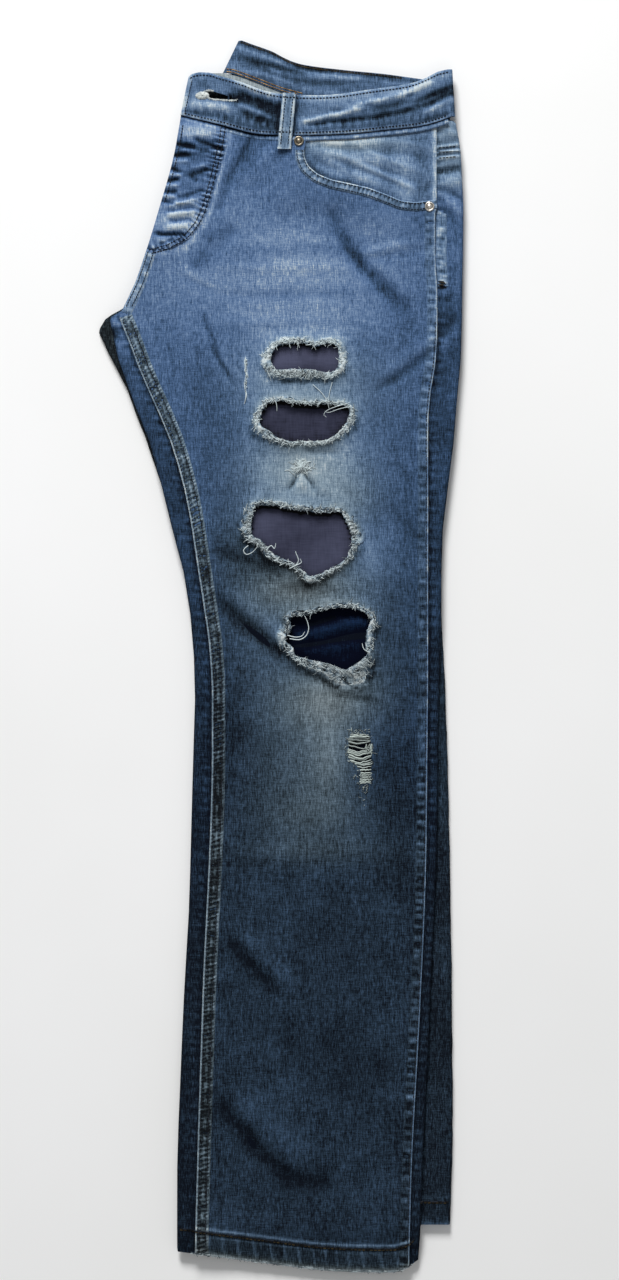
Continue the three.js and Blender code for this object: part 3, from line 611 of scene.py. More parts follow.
@dataclass(frozen=True)
class Denim:
    """Washed denim: indigo that fades to white, with slubs in the warp and weft over a twill."""

    name: str = "washed_denim"
    warp: float = 0.66
    slub: float = 0.18
    weft: float = 0.36
    grain: float = 0.36
    mottle: float = 0.06
    relief: float = 0.55

    WARP = (1400.0, 170.0)
    WEFT = (140.0, 1400.0)
    SLUBS = (640.0, 24.0)
    GRAINS = (1400.0, 1400.0)
    CLOUDS = (160.0, 160.0, 4.0)
    STOPS = (
        (0.00, linear(8, 14, 26)), (0.15, linear(30, 45, 62)), (0.35, linear(52, 75, 105)),
        (0.55, linear(80, 107, 146)), (0.72, linear(109, 134, 169)), (0.88, linear(142, 163, 188)),
        (1.00, linear(188, 200, 206)),
    )

    def material(self) -> Material:
        """Returns the denim material."""
        graph = Graph(self.name)
        warp, weft = graph.threads(*self.WARP), graph.threads(*self.WEFT)
        patterns = (
            (warp, self.warp), (weft, self.weft), (graph.threads(*self.SLUBS), self.slub),
            (graph.threads(*self.GRAINS), self.grain), (graph.threads(*self.CLOUDS), self.mottle),
        )
        weave = -sum(amount for _, amount in patterns) / 2
        for pattern, amount in patterns:
            weave = graph.plus(pattern, amount, weave)
        # This per-point paleness holds the cloth's own fading together with painted light and shade: shadows under lips
        # and edges, shade in creases and puckers.
        fade, grey = graph.worn("fade"), graph.worn("grey")
        shown = graph.plus(fade, 0.45, 0.95)
        value = graph.add("Math", {0: weave, 1: shown, 2: fade}, operation="MULTIPLY_ADD").outputs[0]
        dull = graph.add("HueSaturation", {
            "Color": graph.ramp(value, self.STOPS), "Saturation": graph.plus(grey, -0.68, 1.0),
            "Hue": graph.plus(grey, -0.055, 0.5),
        })
        place = graph.add("TexCoord").outputs["Object"]
        twill = graph.add("TexWave", {"Vector": place, "Scale": 500.0, "Distortion": 0.4}, bands_direction="DIAGONAL")
        height = graph.plus(warp, 0.6, graph.plus(weft, 0.5, twill.outputs["Fac"]))
        bump = graph.add("Bump", {"Height": height, "Strength": self.relief, "Distance": 0.00035})
        graph.feed(graph.surface, {
            "Base Color": dull.outputs["Color"], "Roughness": 0.95, "Specular IOR Level": 0.08,
            "Normal": bump.outputs["Normal"],
        })
        return graph.material


@dataclass(frozen=True)
class Cotton:
    """Smooth cotton cloth of one colour with a fine weave."""

    name: str
    dark: Colour
    pale: Colour

    def material(self) -> Material:
        """Returns the cotton material."""
        graph = Graph(self.name)
        value = graph.plus(graph.worn("fade"), 1.0, -0.6)
        for streaks, amount in (((28.0, 28.0, 3.0), 0.7), ((90.0, 900.0), 0.35), ((900.0, 90.0), 0.35)):
            value = graph.plus(graph.threads(*streaks), amount, value)
        # The near-black first stop gives the painted shadow under the rips' lips, below the cloth's own dark.
        colour = graph.ramp(value, ((0.0, linear(5, 6, 10)), (0.22, self.dark), (0.85, self.pale)))
        bump = graph.add("Bump", {"Height": value, "Strength": 0.25, "Distance": 0.0002})
        graph.feed(graph.surface, {
            "Base Color": colour, "Roughness": 0.9, "Specular IOR Level": 0.15, "Sheen Weight": 0.12,
            "Normal": bump.outputs["Normal"],
        })
        return graph.material


@dataclass(frozen=True)
class Spun:
    """Spun yarn or sewing thread, uneven along its length."""

    name: str
    dark: Colour
    pale: Colour

    def material(self) -> Material:
        """Returns the yarn material."""
        graph = Graph(self.name)
        value = graph.plus(graph.threads(700.0, 700.0, 3.0), 0.5, graph.plus(graph.worn("fade"), 1.0, -0.25))
        graph.feed(graph.surface, {
            "Base Color": graph.ramp(value, ((0.05, self.dark), (0.95, self.pale))), "Roughness": 0.95,
            "Specular IOR Level": 0.12, "Sheen Weight": 0.1,
        })
        return graph.material


@dataclass(frozen=True)
class Metal:
    """Rivet metal with worn high spots and tarnish in the hollows."""

    name: str
    tarnish: Colour
    bright: Colour
    rough: float

    def material(self) -> Material:
        """Returns the metal material."""
        graph = Graph(self.name)
        value = graph.plus(graph.threads(900.0, 900.0, 4.0), 0.8, graph.plus(graph.worn("fade"), 0.7, -0.25))
        graph.feed(graph.surface, {
            "Base Color": graph.ramp(value, ((0.1, self.tarnish), (0.7, self.bright))), "Metallic": 1.0,
            "Roughness": self.rough,
        })
        return graph.material


class Thread(Enum):
    """Sewing threads by colour."""

    # Navy is darker than the thread's own colour: partly painted shade of the stitch holes.
    NAVY = Spun("navy_thread", linear(5, 7, 12), linear(34, 40, 50))
    TAN = Spun("tan_thread", linear(84, 62, 34), linear(176, 142, 92))
    OLIVE = Spun("olive_thread", linear(12, 11, 8), linear(66, 56, 34))
    CREAM = Spun("cream_thread", linear(132, 142, 148), linear(220, 225, 222))


# The garment's surfaces

@dataclass(frozen=True)
class Crease:
    """A crease or soft ridge pressed into the cloth, or a line in its colour, from one point to another: such lines are
    worn whiskers and scuffs, and painted shade along creases.
    """

    start: Point
    stop: Point
    width: float
    height: float

    BOW = 0.08
    BOW_TURN = 3.1
    FADE_OUT = (-0.22, 0.2)

    def at(self, x: Array, y: Array) -> Array:
        """Returns its height at each (x, y), fading out past its ends."""
        run = np.subtract(self.stop, self.start)
        length = math.hypot(*run)
        t = ((x - self.start[0]) * run[0] + (y - self.start[1]) * run[1]) / length**2
        off = ((x - self.start[0]) * run[1] - (y - self.start[1]) * run[0]) / length
        off = off + self.BOW * length * np.sin(self.BOW_TURN * t) * (t - 0.5)
        return self.height * ease(*self.FADE_OUT, t) * ease(*self.FADE_OUT, 1 - t) * swell(off, self.width)


@dataclass(frozen=True)
class Fade:
    """A worn or shaded patch: how much paler the cloth is there, and how much greyer."""

    x: float
    y: float
    across: float
    along: float
    paler: float
    greyer: float = 0.0

    def at(self, x: Array, y: Array) -> Array:
        """Returns the patch's strength at each (x, y), from 0 to 1."""
        return np.exp(-(((x - self.x) / self.across) ** 2) - ((y - self.y) / self.along) ** 2)


def pressed(*rows: tuple[float, ...]) -> tuple[Crease, ...]:
    """Returns creases from a table of start x, start y, stop x, stop y, width and height."""
    return tuple(Crease(row[:2], row[2:4], *row[4:]) for row in rows)


def patches(*rows: tuple[float, ...]) -> tuple[Fade, ...]:
    """Returns patches from a table of x, y, reach across, reach along, how much paler and how much greyer."""
    return tuple(Fade(*row) for row in rows)


def relief(creases: Iterable[Crease], x: Array, y: Array) -> Array:
    """Returns the height of some creases together at each (x, y)."""
    return sum(crease.at(x, y) for crease in creases)


def paleness(fades: Iterable[Fade], x: Array, y: Array) -> Array:
    """Returns how much paler some patches make the cloth at each (x, y)."""
    return sum(fade.paler * fade.at(x, y) for fade in fades)


@dataclass(frozen=True)
class Rip:
    """A hole torn through the front: its edge, how far its lips stand up, where its rim is wide, its loose yarns.

    The rim is wider at each of the flaps, given as x, y, extra width and reach. A loose yarn is given as
    points x, y and lift, and comb is the way that the yarns of the flaps lie, if not straight out. The
    rim's paleness is raised or lowered, per rip, along its top, its sides, its lower lip and that lip's outer
    edge: partly the rim's own colour, partly painted light and shade.
    """

    node: str
    edge: tuple[Point, ...]
    lip: float
    rim: float
    seed: int
    flaps: tuple[tuple[float, float, float, float], ...] = ()
    loose: tuple[tuple[tuple[float, float, float], ...], ...] = ()
    thread: float = 0.42
    comb: Point | None = None
    wear_and_shade: tuple[float, float, float, float] = (0.0, 0.0, 0.0, 0.0)

    def rim_width(self, x: Array, y: Array) -> Array:
        """Returns how wide the rim is near each (x, y)."""
        return self.rim + sum(extra * swell(np.hypot(x - a, y - b), reach) for a, b, extra, reach in self.flaps)

    def loop(self) -> Loop:
        """Returns the torn edge."""
        return Loop(self.edge, 1.1, 0.55, self.seed)


RIPS = (
    Rip(
        'rip_fray_1', lip=2.0, rim=2.4, seed=11, thread=0.16, wear_and_shade=(0.34, 0.18, -0.06, 0.26),
        edge=(
            (-3.0, 269), (4, 271.5), (14, 272.2), (22, 271.9), (30, 268.8), (37, 271.4), (49, 270.2), (51, 262),
            (50.7, 253.3), (48, 248.4), (41, 246), (29, 248.4), (12, 249), (-4, 248.4), (-7.2, 252.4), (-8.6, 258.4),
            (-6.5, 264.5),
        ),
        flaps=(
            (16, 248, 6.5, 24), (-9, 258, 5.0, 9), (51, 258, 3.5, 10),
        ),
        loose=(
            ((-2, 240, 0.5), (10, 243.5, 0.8), (24, 244.5, 0.8), (36, 243, 0.8), (41, 246, 0.6)),
        ),
    ),
    Rip(
        'rip_fray_2', lip=2.2, rim=2.4, seed=12, thread=0.28, wear_and_shade=(0.0, 0.04, 0.14, 0.04),
        edge=(
            (-14.7, 215.4), (-9, 220.6), (3, 221.6), (19, 218.9), (41, 218.9), (52, 217.9), (60.2, 214.5),
            (59.6, 207.4), (55.2, 199.4), (42, 188), (23, 186.4), (9, 186.4), (-2.7, 189.5), (-9.7, 195),
            (-16.7, 199.4), (-18.2, 206),
        ),
        flaps=(
            (-14, 196, 5.0, 11), (57, 202, 4.0, 10), (-17, 208, 2.5, 8), (26, 186, 1.0, 10),
        ),
        loose=(
            ((62, 217, 2.2), (50, 214.5, 2.6), (42, 211, 2.2), (38.5, 212.5, 2.0)),
            ((60, 220, 1.6), (49, 217, 2.2), (40, 213.5, 1.8), (37, 209.5, 1.6), (40, 207.5, 1.6)),
            ((28, 236, 0.9), (36, 229, 1.1), (40.5, 222, 1.4), (42.5, 214, 1.4)),
            ((45, 238, 0.9), (42.5, 229, 1.1), (41.5, 220, 1.4)),
        ),
    ),
    Rip(
        'rip_fray_3', lip=2.5, rim=2.4, seed=13, wear_and_shade=(0.0, -0.08, -0.14, 0.0),
        edge=(
            (-20.9, 129.9), (-3.9, 130.8), (10.9, 127.5), (32.8, 125), (51, 125.4), (56.4, 118.9), (60.9, 108),
            (62, 97), (57.2, 84.7), (45, 76.2), (28, 68.9), (19.4, 73.8), (10.9, 79.9), (-6.3, 88.4), (-16.1, 99.4),
            (-24.5, 104.4), (-25.4, 114), (-24, 122.7),
        ),
        flaps=(
            (-26, 116, 7.0, 12), (-10, 92, 3.5, 12), (61, 106, 7.0, 12), (28, 69, 3.0, 10), (10, 129, 1.5, 30),
        ),
        loose=(
            ((12, 77, 1.6), (16.5, 82.5, 2.6), (14, 88, 3.0), (13, 91, 2.6)),
            ((8, 76, 1.6), (14, 79, 2.4), (19, 81, 2.8), (17, 84.5, 2.6)),
            ((-28, 96, 1.4), (-33, 92, 2.4), (-30, 87.5, 2.6), (-24, 90, 2.0), (-20, 95, 1.6)),
            ((-12, 92, 1.6), (-8, 97, 2.6), (-5, 92, 2.2), (-4, 98, 2.2)),
        ),
    ),
    Rip(
        'rip_fray_4', lip=2.5, rim=2.6, seed=14, comb=(0.8, -0.5), wear_and_shade=(-0.1, -0.12, -0.04, -0.18),
        edge=(
            (8, 32.9), (25.5, 36.4), (40, 40.4), (52, 42.2), (64.6, 41.4), (75.5, 36.4), (78.4, 29.8), (75.4, 21.3),
            (74.3, 6.6), (75.2, 0.5), (60.9, -10.4), (53.5, -11.7), (40, -6.8), (25.5, -3.7), (12.6, 0.8),
            (10.9, 6.6), (3.8, 13.9), (9.4, 23.8),
        ),
        flaps=(
            (64, -9, 15.0, 13), (45, -8, 9.0, 12), (27, -4, 5.0, 10), (77, 20, 4.5, 16), (7, 14, 5.0, 12),
        ),
        loose=(
            ((8, 15, 1.4), (17, 13.5, 2.4), (23, 17.5, 2.8), (25, 24, 2.8), (23.5, 30, 2.2), (21, 35, 1.4)),
            ((6, 18, 1.4), (13, 16, 2.4), (19, 17, 2.6), (21, 21, 2.4)),
            ((77, 3, 1.4), (72, 6, 2.4), (71, 11, 2.4)),
        ),
    ),
)
LOOP_LINE = Line.through((441, 3.2), (489, 7.9))
FLY_LINE = Line.through(
    (458, -47.8), (440.7, -51.1), (423.7, -55.3), (406.3, -59.7), (391, -64), (375.8, -70.5), (362.8, -81.3),
    (354.2, -96.5), (348.5, -118),
)
POCKET_EDGE = (
    (21.6, 449), (20.6, 440), (20.8, 433.5), (24.5, 425.5), (32.9, 418.6), (45.3, 413.8), (59.2, 411), (77.3, 406.8),
    (94, 400.5), (105, 395.8), (117.5, 394.3), (128.6, 395.9), (135.5, 396.5),
)
POCKET_BEYOND = ((150, 396.5), (150, 490), (21.6, 490))
HANG_START, HANG_END, HANG_DROP = -493, -537, 5.2


def droop(y: Array) -> Array:
    """Returns how far the leg hangs down to the floor past the hem of the half underneath."""
    return HANG_DROP * ease(HANG_START, HANG_END, y)


def pocket_scoop() -> Loop:
    """Returns the edge of the pocket's opening, closed above the waist and beyond the side."""
    return Loop([*POCKET_EDGE, *POCKET_BEYOND], 1.2)


def cut_out(places: Array, loops: Iterable[Loop], cell: float, outer: float, inner: float = 0.75) -> Array:
    """Pulls the points of a sheet on to the edges that are cut in it.

    Args:
        places: (x, y) of each point, moved in place.
        loops: the edges.
        cell: distance between the points.
        outer: how far outside an edge a point is pulled in, as a share of a cell.
        inner: how far inside an edge a point is kept, as a share of a cell.

    Returns:
        True for each point that stays.
    """
    keep = np.ones(len(places), bool)
    for loop in loops:
        gap, foot = loop.distance(*places.T)
        near = (gap > -inner * cell) & (gap < outer * cell)
        places[near] = foot[near]
        keep &= gap > -inner * cell
    return keep


@dataclass
class Front:
    """The left front's form and colour, its fading and painted shade together: everything that lies on it takes its
    height and colour from here.
    """

    waist_y: float = 471.0
    crotch_y: float = 295.0
    pocket_end: float = 388.0
    hem_y: float = -518.5
    waist_bend: float = 70.0
    hem_bend: float = 90.0
    hem_depth: float = 22.0
    hem_ends: Point = (-88.5, 119.5)
    own_hem: Point = (-72.0, 111.0)
    rope: float = 12.0
    fly_drop: float = 1.5
    lip_reach: float = 30.0
    creases: tuple[Crease, ...] = pressed(
        (44, 388, 55, 363, 5.4, -1.5), (55, 363, 71, 339, 5.6, -2.4), (71, 339, 92, 319, 5.6, -2.2),
        (92, 319, 111, 299, 5.4, -1.5), (72, 352, 112, 312, 9.0, 0.8), (137, 267, 86, 233, 3.8, -1.9),
        (132, 276, 92, 246, 7.0, 0.8), (-65, 296, -56, 264, 2.2, -0.9), (-57, 266, -42, 238, 2.2, -0.9),
        (-54, 49, 4, -4, 7.0, -3.0), (-46, 60, 2, 14, 9.0, 1.1), (-56, 92, -8, 74, 5.5, -1.4),
        (-44, -246, -6, -291, 6.5, -1.5), (-30, -243, 6, -286, 9.0, 0.8), (-52, -389, -23, -427, 6.5, -1.8),
        (-28, -422, 6, -455, 6.5, -1.8), (2, -453, 40, -461, 6.5, -1.5), (-36, -384, 20, -436, 11.0, 1.0),
        (70, 350, 116, 359, 3.2, 0.6), (68, 346, 132, 352, 4.0, -0.5), (-52, -177, 104, -178, 3.0, -0.4),
        (-90, 338, -58, 321, 4.0, 0.3), (-84, 330, -60, 318, 3.0, -0.5), (18, 161, 7, 145, 2.6, -1.7),
        (19, 161, 30, 146, 2.6, -1.7), (18, 160, 19, 146, 3.0, 0.9), (-26, 136, -6, 150, 4.0, 0.6),
        (58, 132, 34, 150, 5.0, 0.6), (-43, 417, -54, 388, 3.5, -1.4), (-44, 417, -26, 448, 2.4, -2.2),
        (-30, 414, -8, 440, 6.0, 0.8), (-38, 372, -60, 350, 6.0, -0.8), (98, 128, 124, 96, 8.0, -0.6),
        (2, 58, 56, 54, 5.0, -0.9), (10, -12, 50, -27, 4.0, -1.4), (44, -34, 84, -40, 3.2, -1.6),
        (-40, -60, -6, -96, 12.0, -0.6), (40, -330, 96, -372, 14.0, -0.6), (20, 178, 48, 176, 3.0, -0.8),
        (-4, 240, 44, 238, 3.0, -0.7), (12, 62, 28, 58, 4.0, -1.2), (24, 62, 48, 70, 3.5, -1.0),
        (60, 336, -50, 340, 4.0, 0.35), (50, 312, -56, 316, 4.0, -0.35), (40, 288, -60, 292, 4.5, 0.3),
    )
    # Among these patches, painted shade: the darker ones along the side seam (x 100 to 118), at the belt loop's foot
    # (3, 437), beside the fly's crease (-28, 434) and under rip 3's lower rope (-4, 79).
    fades: tuple[Fade, ...] = patches(
        (0, 335, 62, 48, 0.12), (40, 300, 52, 40, 0.08), (24, 235, 52, 34, 0.11, 0.3), (20, 160, 44, 30, 0.3, 0.48),
        (20, 58, 40, 22, 0.07, 0.7), (40, -36, 44, 30, 0.19, 0.68), (12, -90, 46, 50, 0.1, 0.34),
        (20, 140, 70, 90, 0.04, 0.1), (110, 330, 34, 60, -0.06), (118, 180, 30, 120, -0.03), (112, 20, 34, 110, -0.1),
        (100, -140, 40, 70, -0.09), (-50, 150, 30, 80, -0.03), (62, 398, 46, 16, -0.05), (-28, 434, 10, 18, -0.15),
        (-10, 452, 16, 6, -0.1), (3, 437, 10, 5, -0.12), (-80, 320, 28, 40, 0.07), (18.7, 164, 9, 7, 0.24, 0.4),
        (19, 150, 14, 10, 0.06), (-4, 79, 14, 7, -0.2), (30, -170, 60, 12, 0.05, 0.2), (-52, -50, 24, 80, -0.09),
        (-56, 220, 26, 60, -0.05), (30, -140, 50, 26, 0.06, 0.3), (22, 215, 46, 40, 0.0, 0.05),
        (-30, 96, 30, 32, -0.15, 0.1), (78, 88, 15, 30, 0.17), (100, 98, 14, 24, 0.08), (44, -92, 20, 34, 0.13, 0.35),
        (-8, -104, 24, 48, -0.08), (66, -146, 22, 34, 0.08), (96, 350, 16, 28, 0.08), (116, 284, 16, 20, -0.06),
        (-12, 243, 10, 8, 0.1), (-44, 66, 14, 12, -0.11), (-4, 70, 16, 8, -0.07), (97, 310, 14, 14, -0.04),
        (43, 377, 9, 12, -0.09), (78, 370, 14, 9, 0.09), (126, 379, 10, 8, -0.07), (76, 380, 26, 10, 0.06),
        (128, 205, 8, 24, 0.05), (-44, 414, 10, 10, -0.06), (-9, 450, 10, 6, -0.08), (66, 344, 12, 14, -0.06),
        (-48, 345, 28, 9, -0.09), (-10, 262, 14, 34, 0.1), (54, 181, 16, 13, 0.13), (-44, 248, 12, 14, 0.06),
        (62, 20, 44, 80, 0.0, 0.22), (60, 136, 22, 22, 0.0, 0.24), (-20, 40, 34, 80, 0.0, 0.22),
        (-20, -40, 30, 40, -0.05), (24, -452, 40, 13, -0.04),
    )
    # The pale and dark bands across the thigh are whiskers worn into the cloth; the dark lines that follow creases on
    # the inner thigh and across the thigh, and the star below the worn spot, are painted shade in them.
    marks: tuple[Crease, ...] = pressed(
        (-30.6, 262, -29.6, 240, 1.6, 0.42), (-30.2, 240, -29.7, 222, 1.4, 0.3), (-66, 298, -57, 266, 1.5, -0.22),
        (-57.5, 267, -42, 238, 1.5, -0.26), (-8, 236, 30, 243, 1.3, -0.2), (66, 352, 100, 360, 2.4, 0.07),
        (98, 360, 130, 348, 2.4, 0.07), (44, -64, 52, -118, 0.9, 0.08), (20, -40, 26, -80, 0.8, 0.06),
        (60, -196, 70, -230, 0.8, 0.07), (-8, -150, -2, -182, 0.9, 0.06), (-88, 338, -60, 322, 2.4, 0.07),
        (-20, 365, 42, 364, 6.0, 0.06), (-40, 353.5, 56, 352, 5.0, -0.085), (-4, 341, 62, 340, 7.0, 0.075),
        (-40, 328, 56, 327, 5.0, 0.03), (-24, 316, 92, 314.5, 4.0, -0.075), (-60, 301, 50, 297, 7.0, 0.05),
        (-30, 289, 70, 287.5, 2.0, -0.05), (-20, 283.5, 60, 283, 4.0, 0.05), (-64, 361, -44, 374, 5.0, -0.15),
        (-77, 340, -62, 350, 6.0, -0.14), (17, 160, 8, 146, 1.3, -0.42), (20, 159, 29, 147, 1.3, -0.36),
        (50, 374, 69, 342, 7.0, -0.11), (69, 342, 96, 315, 7.0, -0.11), (40, 280, 58, 276, 1.2, 0.12),
        (70, -114, 74, -134, 1.6, 0.12),
    )

    # Paler at the waist and thigh and darker towards the hem: partly the cloth's own fading, partly painted shade for
    # light that falls off towards the hem.
    TONE = Line.through(
        (471, 0.50), (430, 0.53), (390, 0.55), (340, 0.58), (295, 0.55), (240, 0.46), (180, 0.41), (120, 0.39),
        (60, 0.35), (0, 0.31), (-60, 0.25), (-120, 0.20), (-172, 0.18), (-184, 0.145), (-260, 0.145), (-350, 0.135),
        (-440, 0.14), (-518, 0.16),
    )

    def __post_init__(self) -> None:
        """Reads the panel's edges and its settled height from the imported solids."""
        outline = Outline("left_front")
        self.inseam, right = outline.sides()
        side_x = Outline("pocket_facing").points[:, 0].max()
        self.side = Line(right.places, np.where(right.places > self.pocket_end, side_x, right.values))
        back, (start, stop) = Outline("left_back").ends()[0], self.own_hem
        middle = outline.ends()[0].between(start, stop)
        self.hem = back.between(self.hem_ends[0], start).then(middle).then(back.between(stop, self.hem_ends[1]))
        self.waist = Outline("waistband_front").ends()[0]
        self.settled = Lattice.top_of("left_front")
        self.loops = [rip.loop() for rip in RIPS]
        self.cockle = Lattice.unevenness(3, 26.0, 34.0)
        self.ripple = Lattice.unevenness(5, 7.0, 9.0)
        self.fleck = Lattice.unevenness(8, 3.2, 3.2)

    def bent(self, x: Array, level: Array) -> Array:
        """Returns the Y of a row of cloth at x, bent to follow the waist seam and the hem."""
        up = (self.waist.at(x) - 0.3 - self.waist_y) * ease(self.waist_y - self.waist_bend, self.waist_y, level)
        return level + up + (self.hem.at(x) - self.hem_y) * ease(self.hem_y + self.hem_bend, self.hem_y, level)

    def in_fly(self, x: Array, y: Array) -> Array:
        """Returns 1 on the fly and 0 off it."""
        return ease(1.5, -3.0, x - FLY_LINE.at(y)) * ease(352, 358, y)

    def hem_pull(self, x: Array, y: Array) -> Array:
        """Returns the slanting ropes that the hem's stitching pulls into it, from -1 to 1."""
        up = y - self.hem.at(x)
        drift = 2.6 * self.cockle.at(x * 1.7, 0 * y - 520)
        wave = np.sin(2 * math.pi * (x + 0.15 * up) / self.rope + drift)
        return wave * ease(self.hem_depth + 3, self.hem_depth - 3, up) * ease(-1, 5, up)

    def torn(self, x: Array, y: Array) -> Array:
        """Returns the distance from the nearest rip's edge, below 0 in a hole."""
        return np.min([loop.distance(x, y)[0] for loop in self.loops], axis=0)

    def shade(self, x: Array, y: Array) -> Array:
        """Returns how dark painted shade makes what lies behind the rips, from 0: a strong shadow under each upper lip
        and a weaker one round the whole edge.
        """
        dark = 0.0
        for loop in self.loops:
            gap, foot = loop.distance(x, y)
            above = ease(0.2, 0.8, (foot[:, 1].reshape(np.shape(y)) - y) / np.maximum(np.abs(gap), 0.5))
            dark = dark + (gap < 2) * stripes(gap, (0, 2.2, 0.9 * above), (0, 5.0, 0.14))
        return dark

    def height(self, x: Array, y: Array) -> Array:
        """Returns the height of the outer face at each (x, y)."""
        z = self.settled.at(x, y) + relief(self.creases, x, y)
        z = z + 0.22 * self.cockle.at(x, y) + 0.07 * self.ripple.at(x, y)
        z = z - self.fly_drop * self.in_fly(x, y) + 0.5 * self.hem_pull(x, y) - droop(y)
        for rip, loop in zip(RIPS, self.loops):
            gap = loop.distance(x, y, self.lip_reach)[0]
            lower = ease(6, -10, y - (loop.low[1] + loop.high[1]) / 2)
            lift = rip.lip * (0.8 + 0.3 * lower) * swell(np.maximum(gap - 2, 0), 7.5)
            z = z + lift * (gap < self.lip_reach - 1)
        return z

    def wear_and_shade(self, x: Array, y: Array) -> tuple[Array, Array]:
        """Returns how pale and how grey the outer face is at each (x, y), painted light and shade included."""
        fleck, up, torn = self.fleck.at(x, y), y - self.hem.at(x), np.maximum(self.torn(x, y), 0)
        rim = swell(torn, 5.5)
        fade = self.TONE.at(y) + paleness(self.fades, x, y) + relief(self.marks, x, y) * (1 + 0.5 * fleck)
        fade = fade + 0.026 * self.cockle.at(x * 1.4, y * 1.1) + 0.03 * self.ripple.at(x * 0.8, y * 0.8)
        # Creases colour the cloth: paler on their ridges, partly worn paleness and partly painted highlight, and darker
        # in their troughs as painted shade.
        fade = fade + 0.095 * np.clip(relief(self.creases, x, y), -2.6, 1.2)
        fade = fade + self._fly_edge(x, y) * (0.24 + 0.12 * fleck) + self._hem_wear_and_shade(x, y, up, fleck)
        # Painted shadow: a dark stripe just below the waistband's lower edge, with a pale line below it.
        fade = fade + stripes(self.waist.at(x) - y, (0.6, 0.9, -0.30), (3.4, 1.2, 0.20 + 0.08 * fleck))
        # Painted shade below each rip's lower rim.
        fade = fade - self._lip_shade(x, y) + rim * (0.10 + 0.10 * fleck) + 0.05 * swell(torn, 16)
        grey = sum(patch.greyer * patch.at(x, y) for patch in self.fades) + 0.13 * ease(-60, -200, y)
        grey = grey + 0.9 * swell(up, 4.5) + 0.12 * ease(self.hem_depth + 6, self.hem_depth, up)
        return np.clip(fade, 0.0, 1.15), np.clip(grey + 0.5 * rim, 0, 1)

    @staticmethod
    def _fly_edge(x: Array, y: Array) -> Array:
        """Returns the pale ridge just outside the fly's stitching, from 0 to 1."""
        lean = (FLY_LINE.at(y + 2) - FLY_LINE.at(y - 2)) / 4
        off = (x - FLY_LINE.at(y)) / np.hypot(1, lean)
        return swell(off - 4.2, 2.0) * ease(346, 352, y) * ease(470, 456, y)

    def _hem_wear_and_shade(self, x: Array, y: Array, up: Array, fleck: Array) -> Array:
        """Returns how much paler the hem's ropes, its fold, its stitched line and its broken edge are; the dark stripe
        at the stitching is painted shade of its groove.
        """
        depth = self.hem_depth
        ropes = 0.62 * np.clip(self.hem_pull(x, y) - 0.7, 0, 1) - 0.05 * ease(depth, depth - 4, up)
        lines = (depth + 1.5, 1.3, 0.42), (20, 1.8, -0.26), (17.2, 0.9, 0.16), (0, 2.3, 0.46 + 0.22 * fleck)
        return ropes + stripes(up, *lines)

    def _lip_shade(self, x: Array, y: Array) -> Array:
        """Returns how much darker the cloth is just below each rip's lower rim."""
        shade = 0.0
        for rip, loop in zip(RIPS, self.loops):
            gap, foot = loop.distance(x, y, self.lip_reach)
            foot_x, foot_y = (foot[:, k].reshape(np.shape(x)) for k in (0, 1))
            lower = ease(0.1, -0.5, (y - foot_y) / np.maximum(np.abs(gap), 0.5))
            band = swell(gap - rip.rim_width(foot_x, foot_y) - 1.5, 2.6)
            shade = shade + 0.24 * lower * band * (gap < self.lip_reach - 1)
        return shade


class Ground:
    """The tops of pieces already made, for what is sewn on them."""

    LOOK_FROM = 1.0

    def __init__(self, pieces: Iterable[Piece]) -> None:
        """Gathers the pieces' meshes.

        Args:
            pieces: what can be sewn on.
        """
        points, faces = [], []
        for piece in pieces:
            start = len(points)
            points.extend(v.co for v in piece.data.vertices)
            faces.extend([start + i for i in p.vertices] for p in piece.data.polygons)
        self.tree = BVHTree.FromPolygons(points, faces)

    def at(self, x: Array, y: Array) -> Array:
        """Returns the height of the highest piece at each (x, y), or 0 off them all."""
        hits = [self.tree.ray_cast(Vector((a * MM, b * MM, self.LOOK_FROM)), Vector((0, 0, -1)))[0]
                for a, b in zip(np.ravel(x), np.ravel(y))]
        return np.array([0.0 if hit is None else hit.z / MM for hit in hits]).reshape(np.shape(x))


# The garment's pieces

Finish = Denim | Cotton | Spun | Metal
Strand = tuple[Array, float, float]
LOOSE_YARN = Spun("loose_yarn", linear(36, 48, 60), linear(206, 218, 220))
BRIDGING_YARN = Spun("bridging_yarn", linear(30, 42, 54), linear(202, 214, 208))


@dataclass
class Made:
    """The pieces made so far, and their materials."""

    pieces: dict[str, Piece] = field(default_factory=dict)
    materials: dict[str, Material] = field(default_factory=dict)

    PLAIN = {"fade": 0.4, "grey": 0.0}

    def finish(self, finish: Finish) -> Material:
        """Returns a finish's material, made once."""
        if finish.name not in self.materials:
            self.materials[finish.name] = finish.material()
        return self.materials[finish.name]

    def add(self, name: str, draft: Draft, finish: Finish, slot: str, nodes: Sequence[str] = (),
            crease: float = 50.0) -> Piece:
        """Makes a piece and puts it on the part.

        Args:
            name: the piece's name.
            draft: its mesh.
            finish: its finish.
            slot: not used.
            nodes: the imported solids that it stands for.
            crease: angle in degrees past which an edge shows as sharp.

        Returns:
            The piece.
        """
        for key, value in self.PLAIN.items():
            draft.values.setdefault(key, np.full(len(draft.points), value))
        piece = draft.make(name, self.finish(finish), crease)
        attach(piece, BODY)
        if nodes:
            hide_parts(*nodes)
        self.pieces[name] = piece
        log.info("%s: %d points, %d faces", name, len(draft.points), len(draft.faces))
        return piece


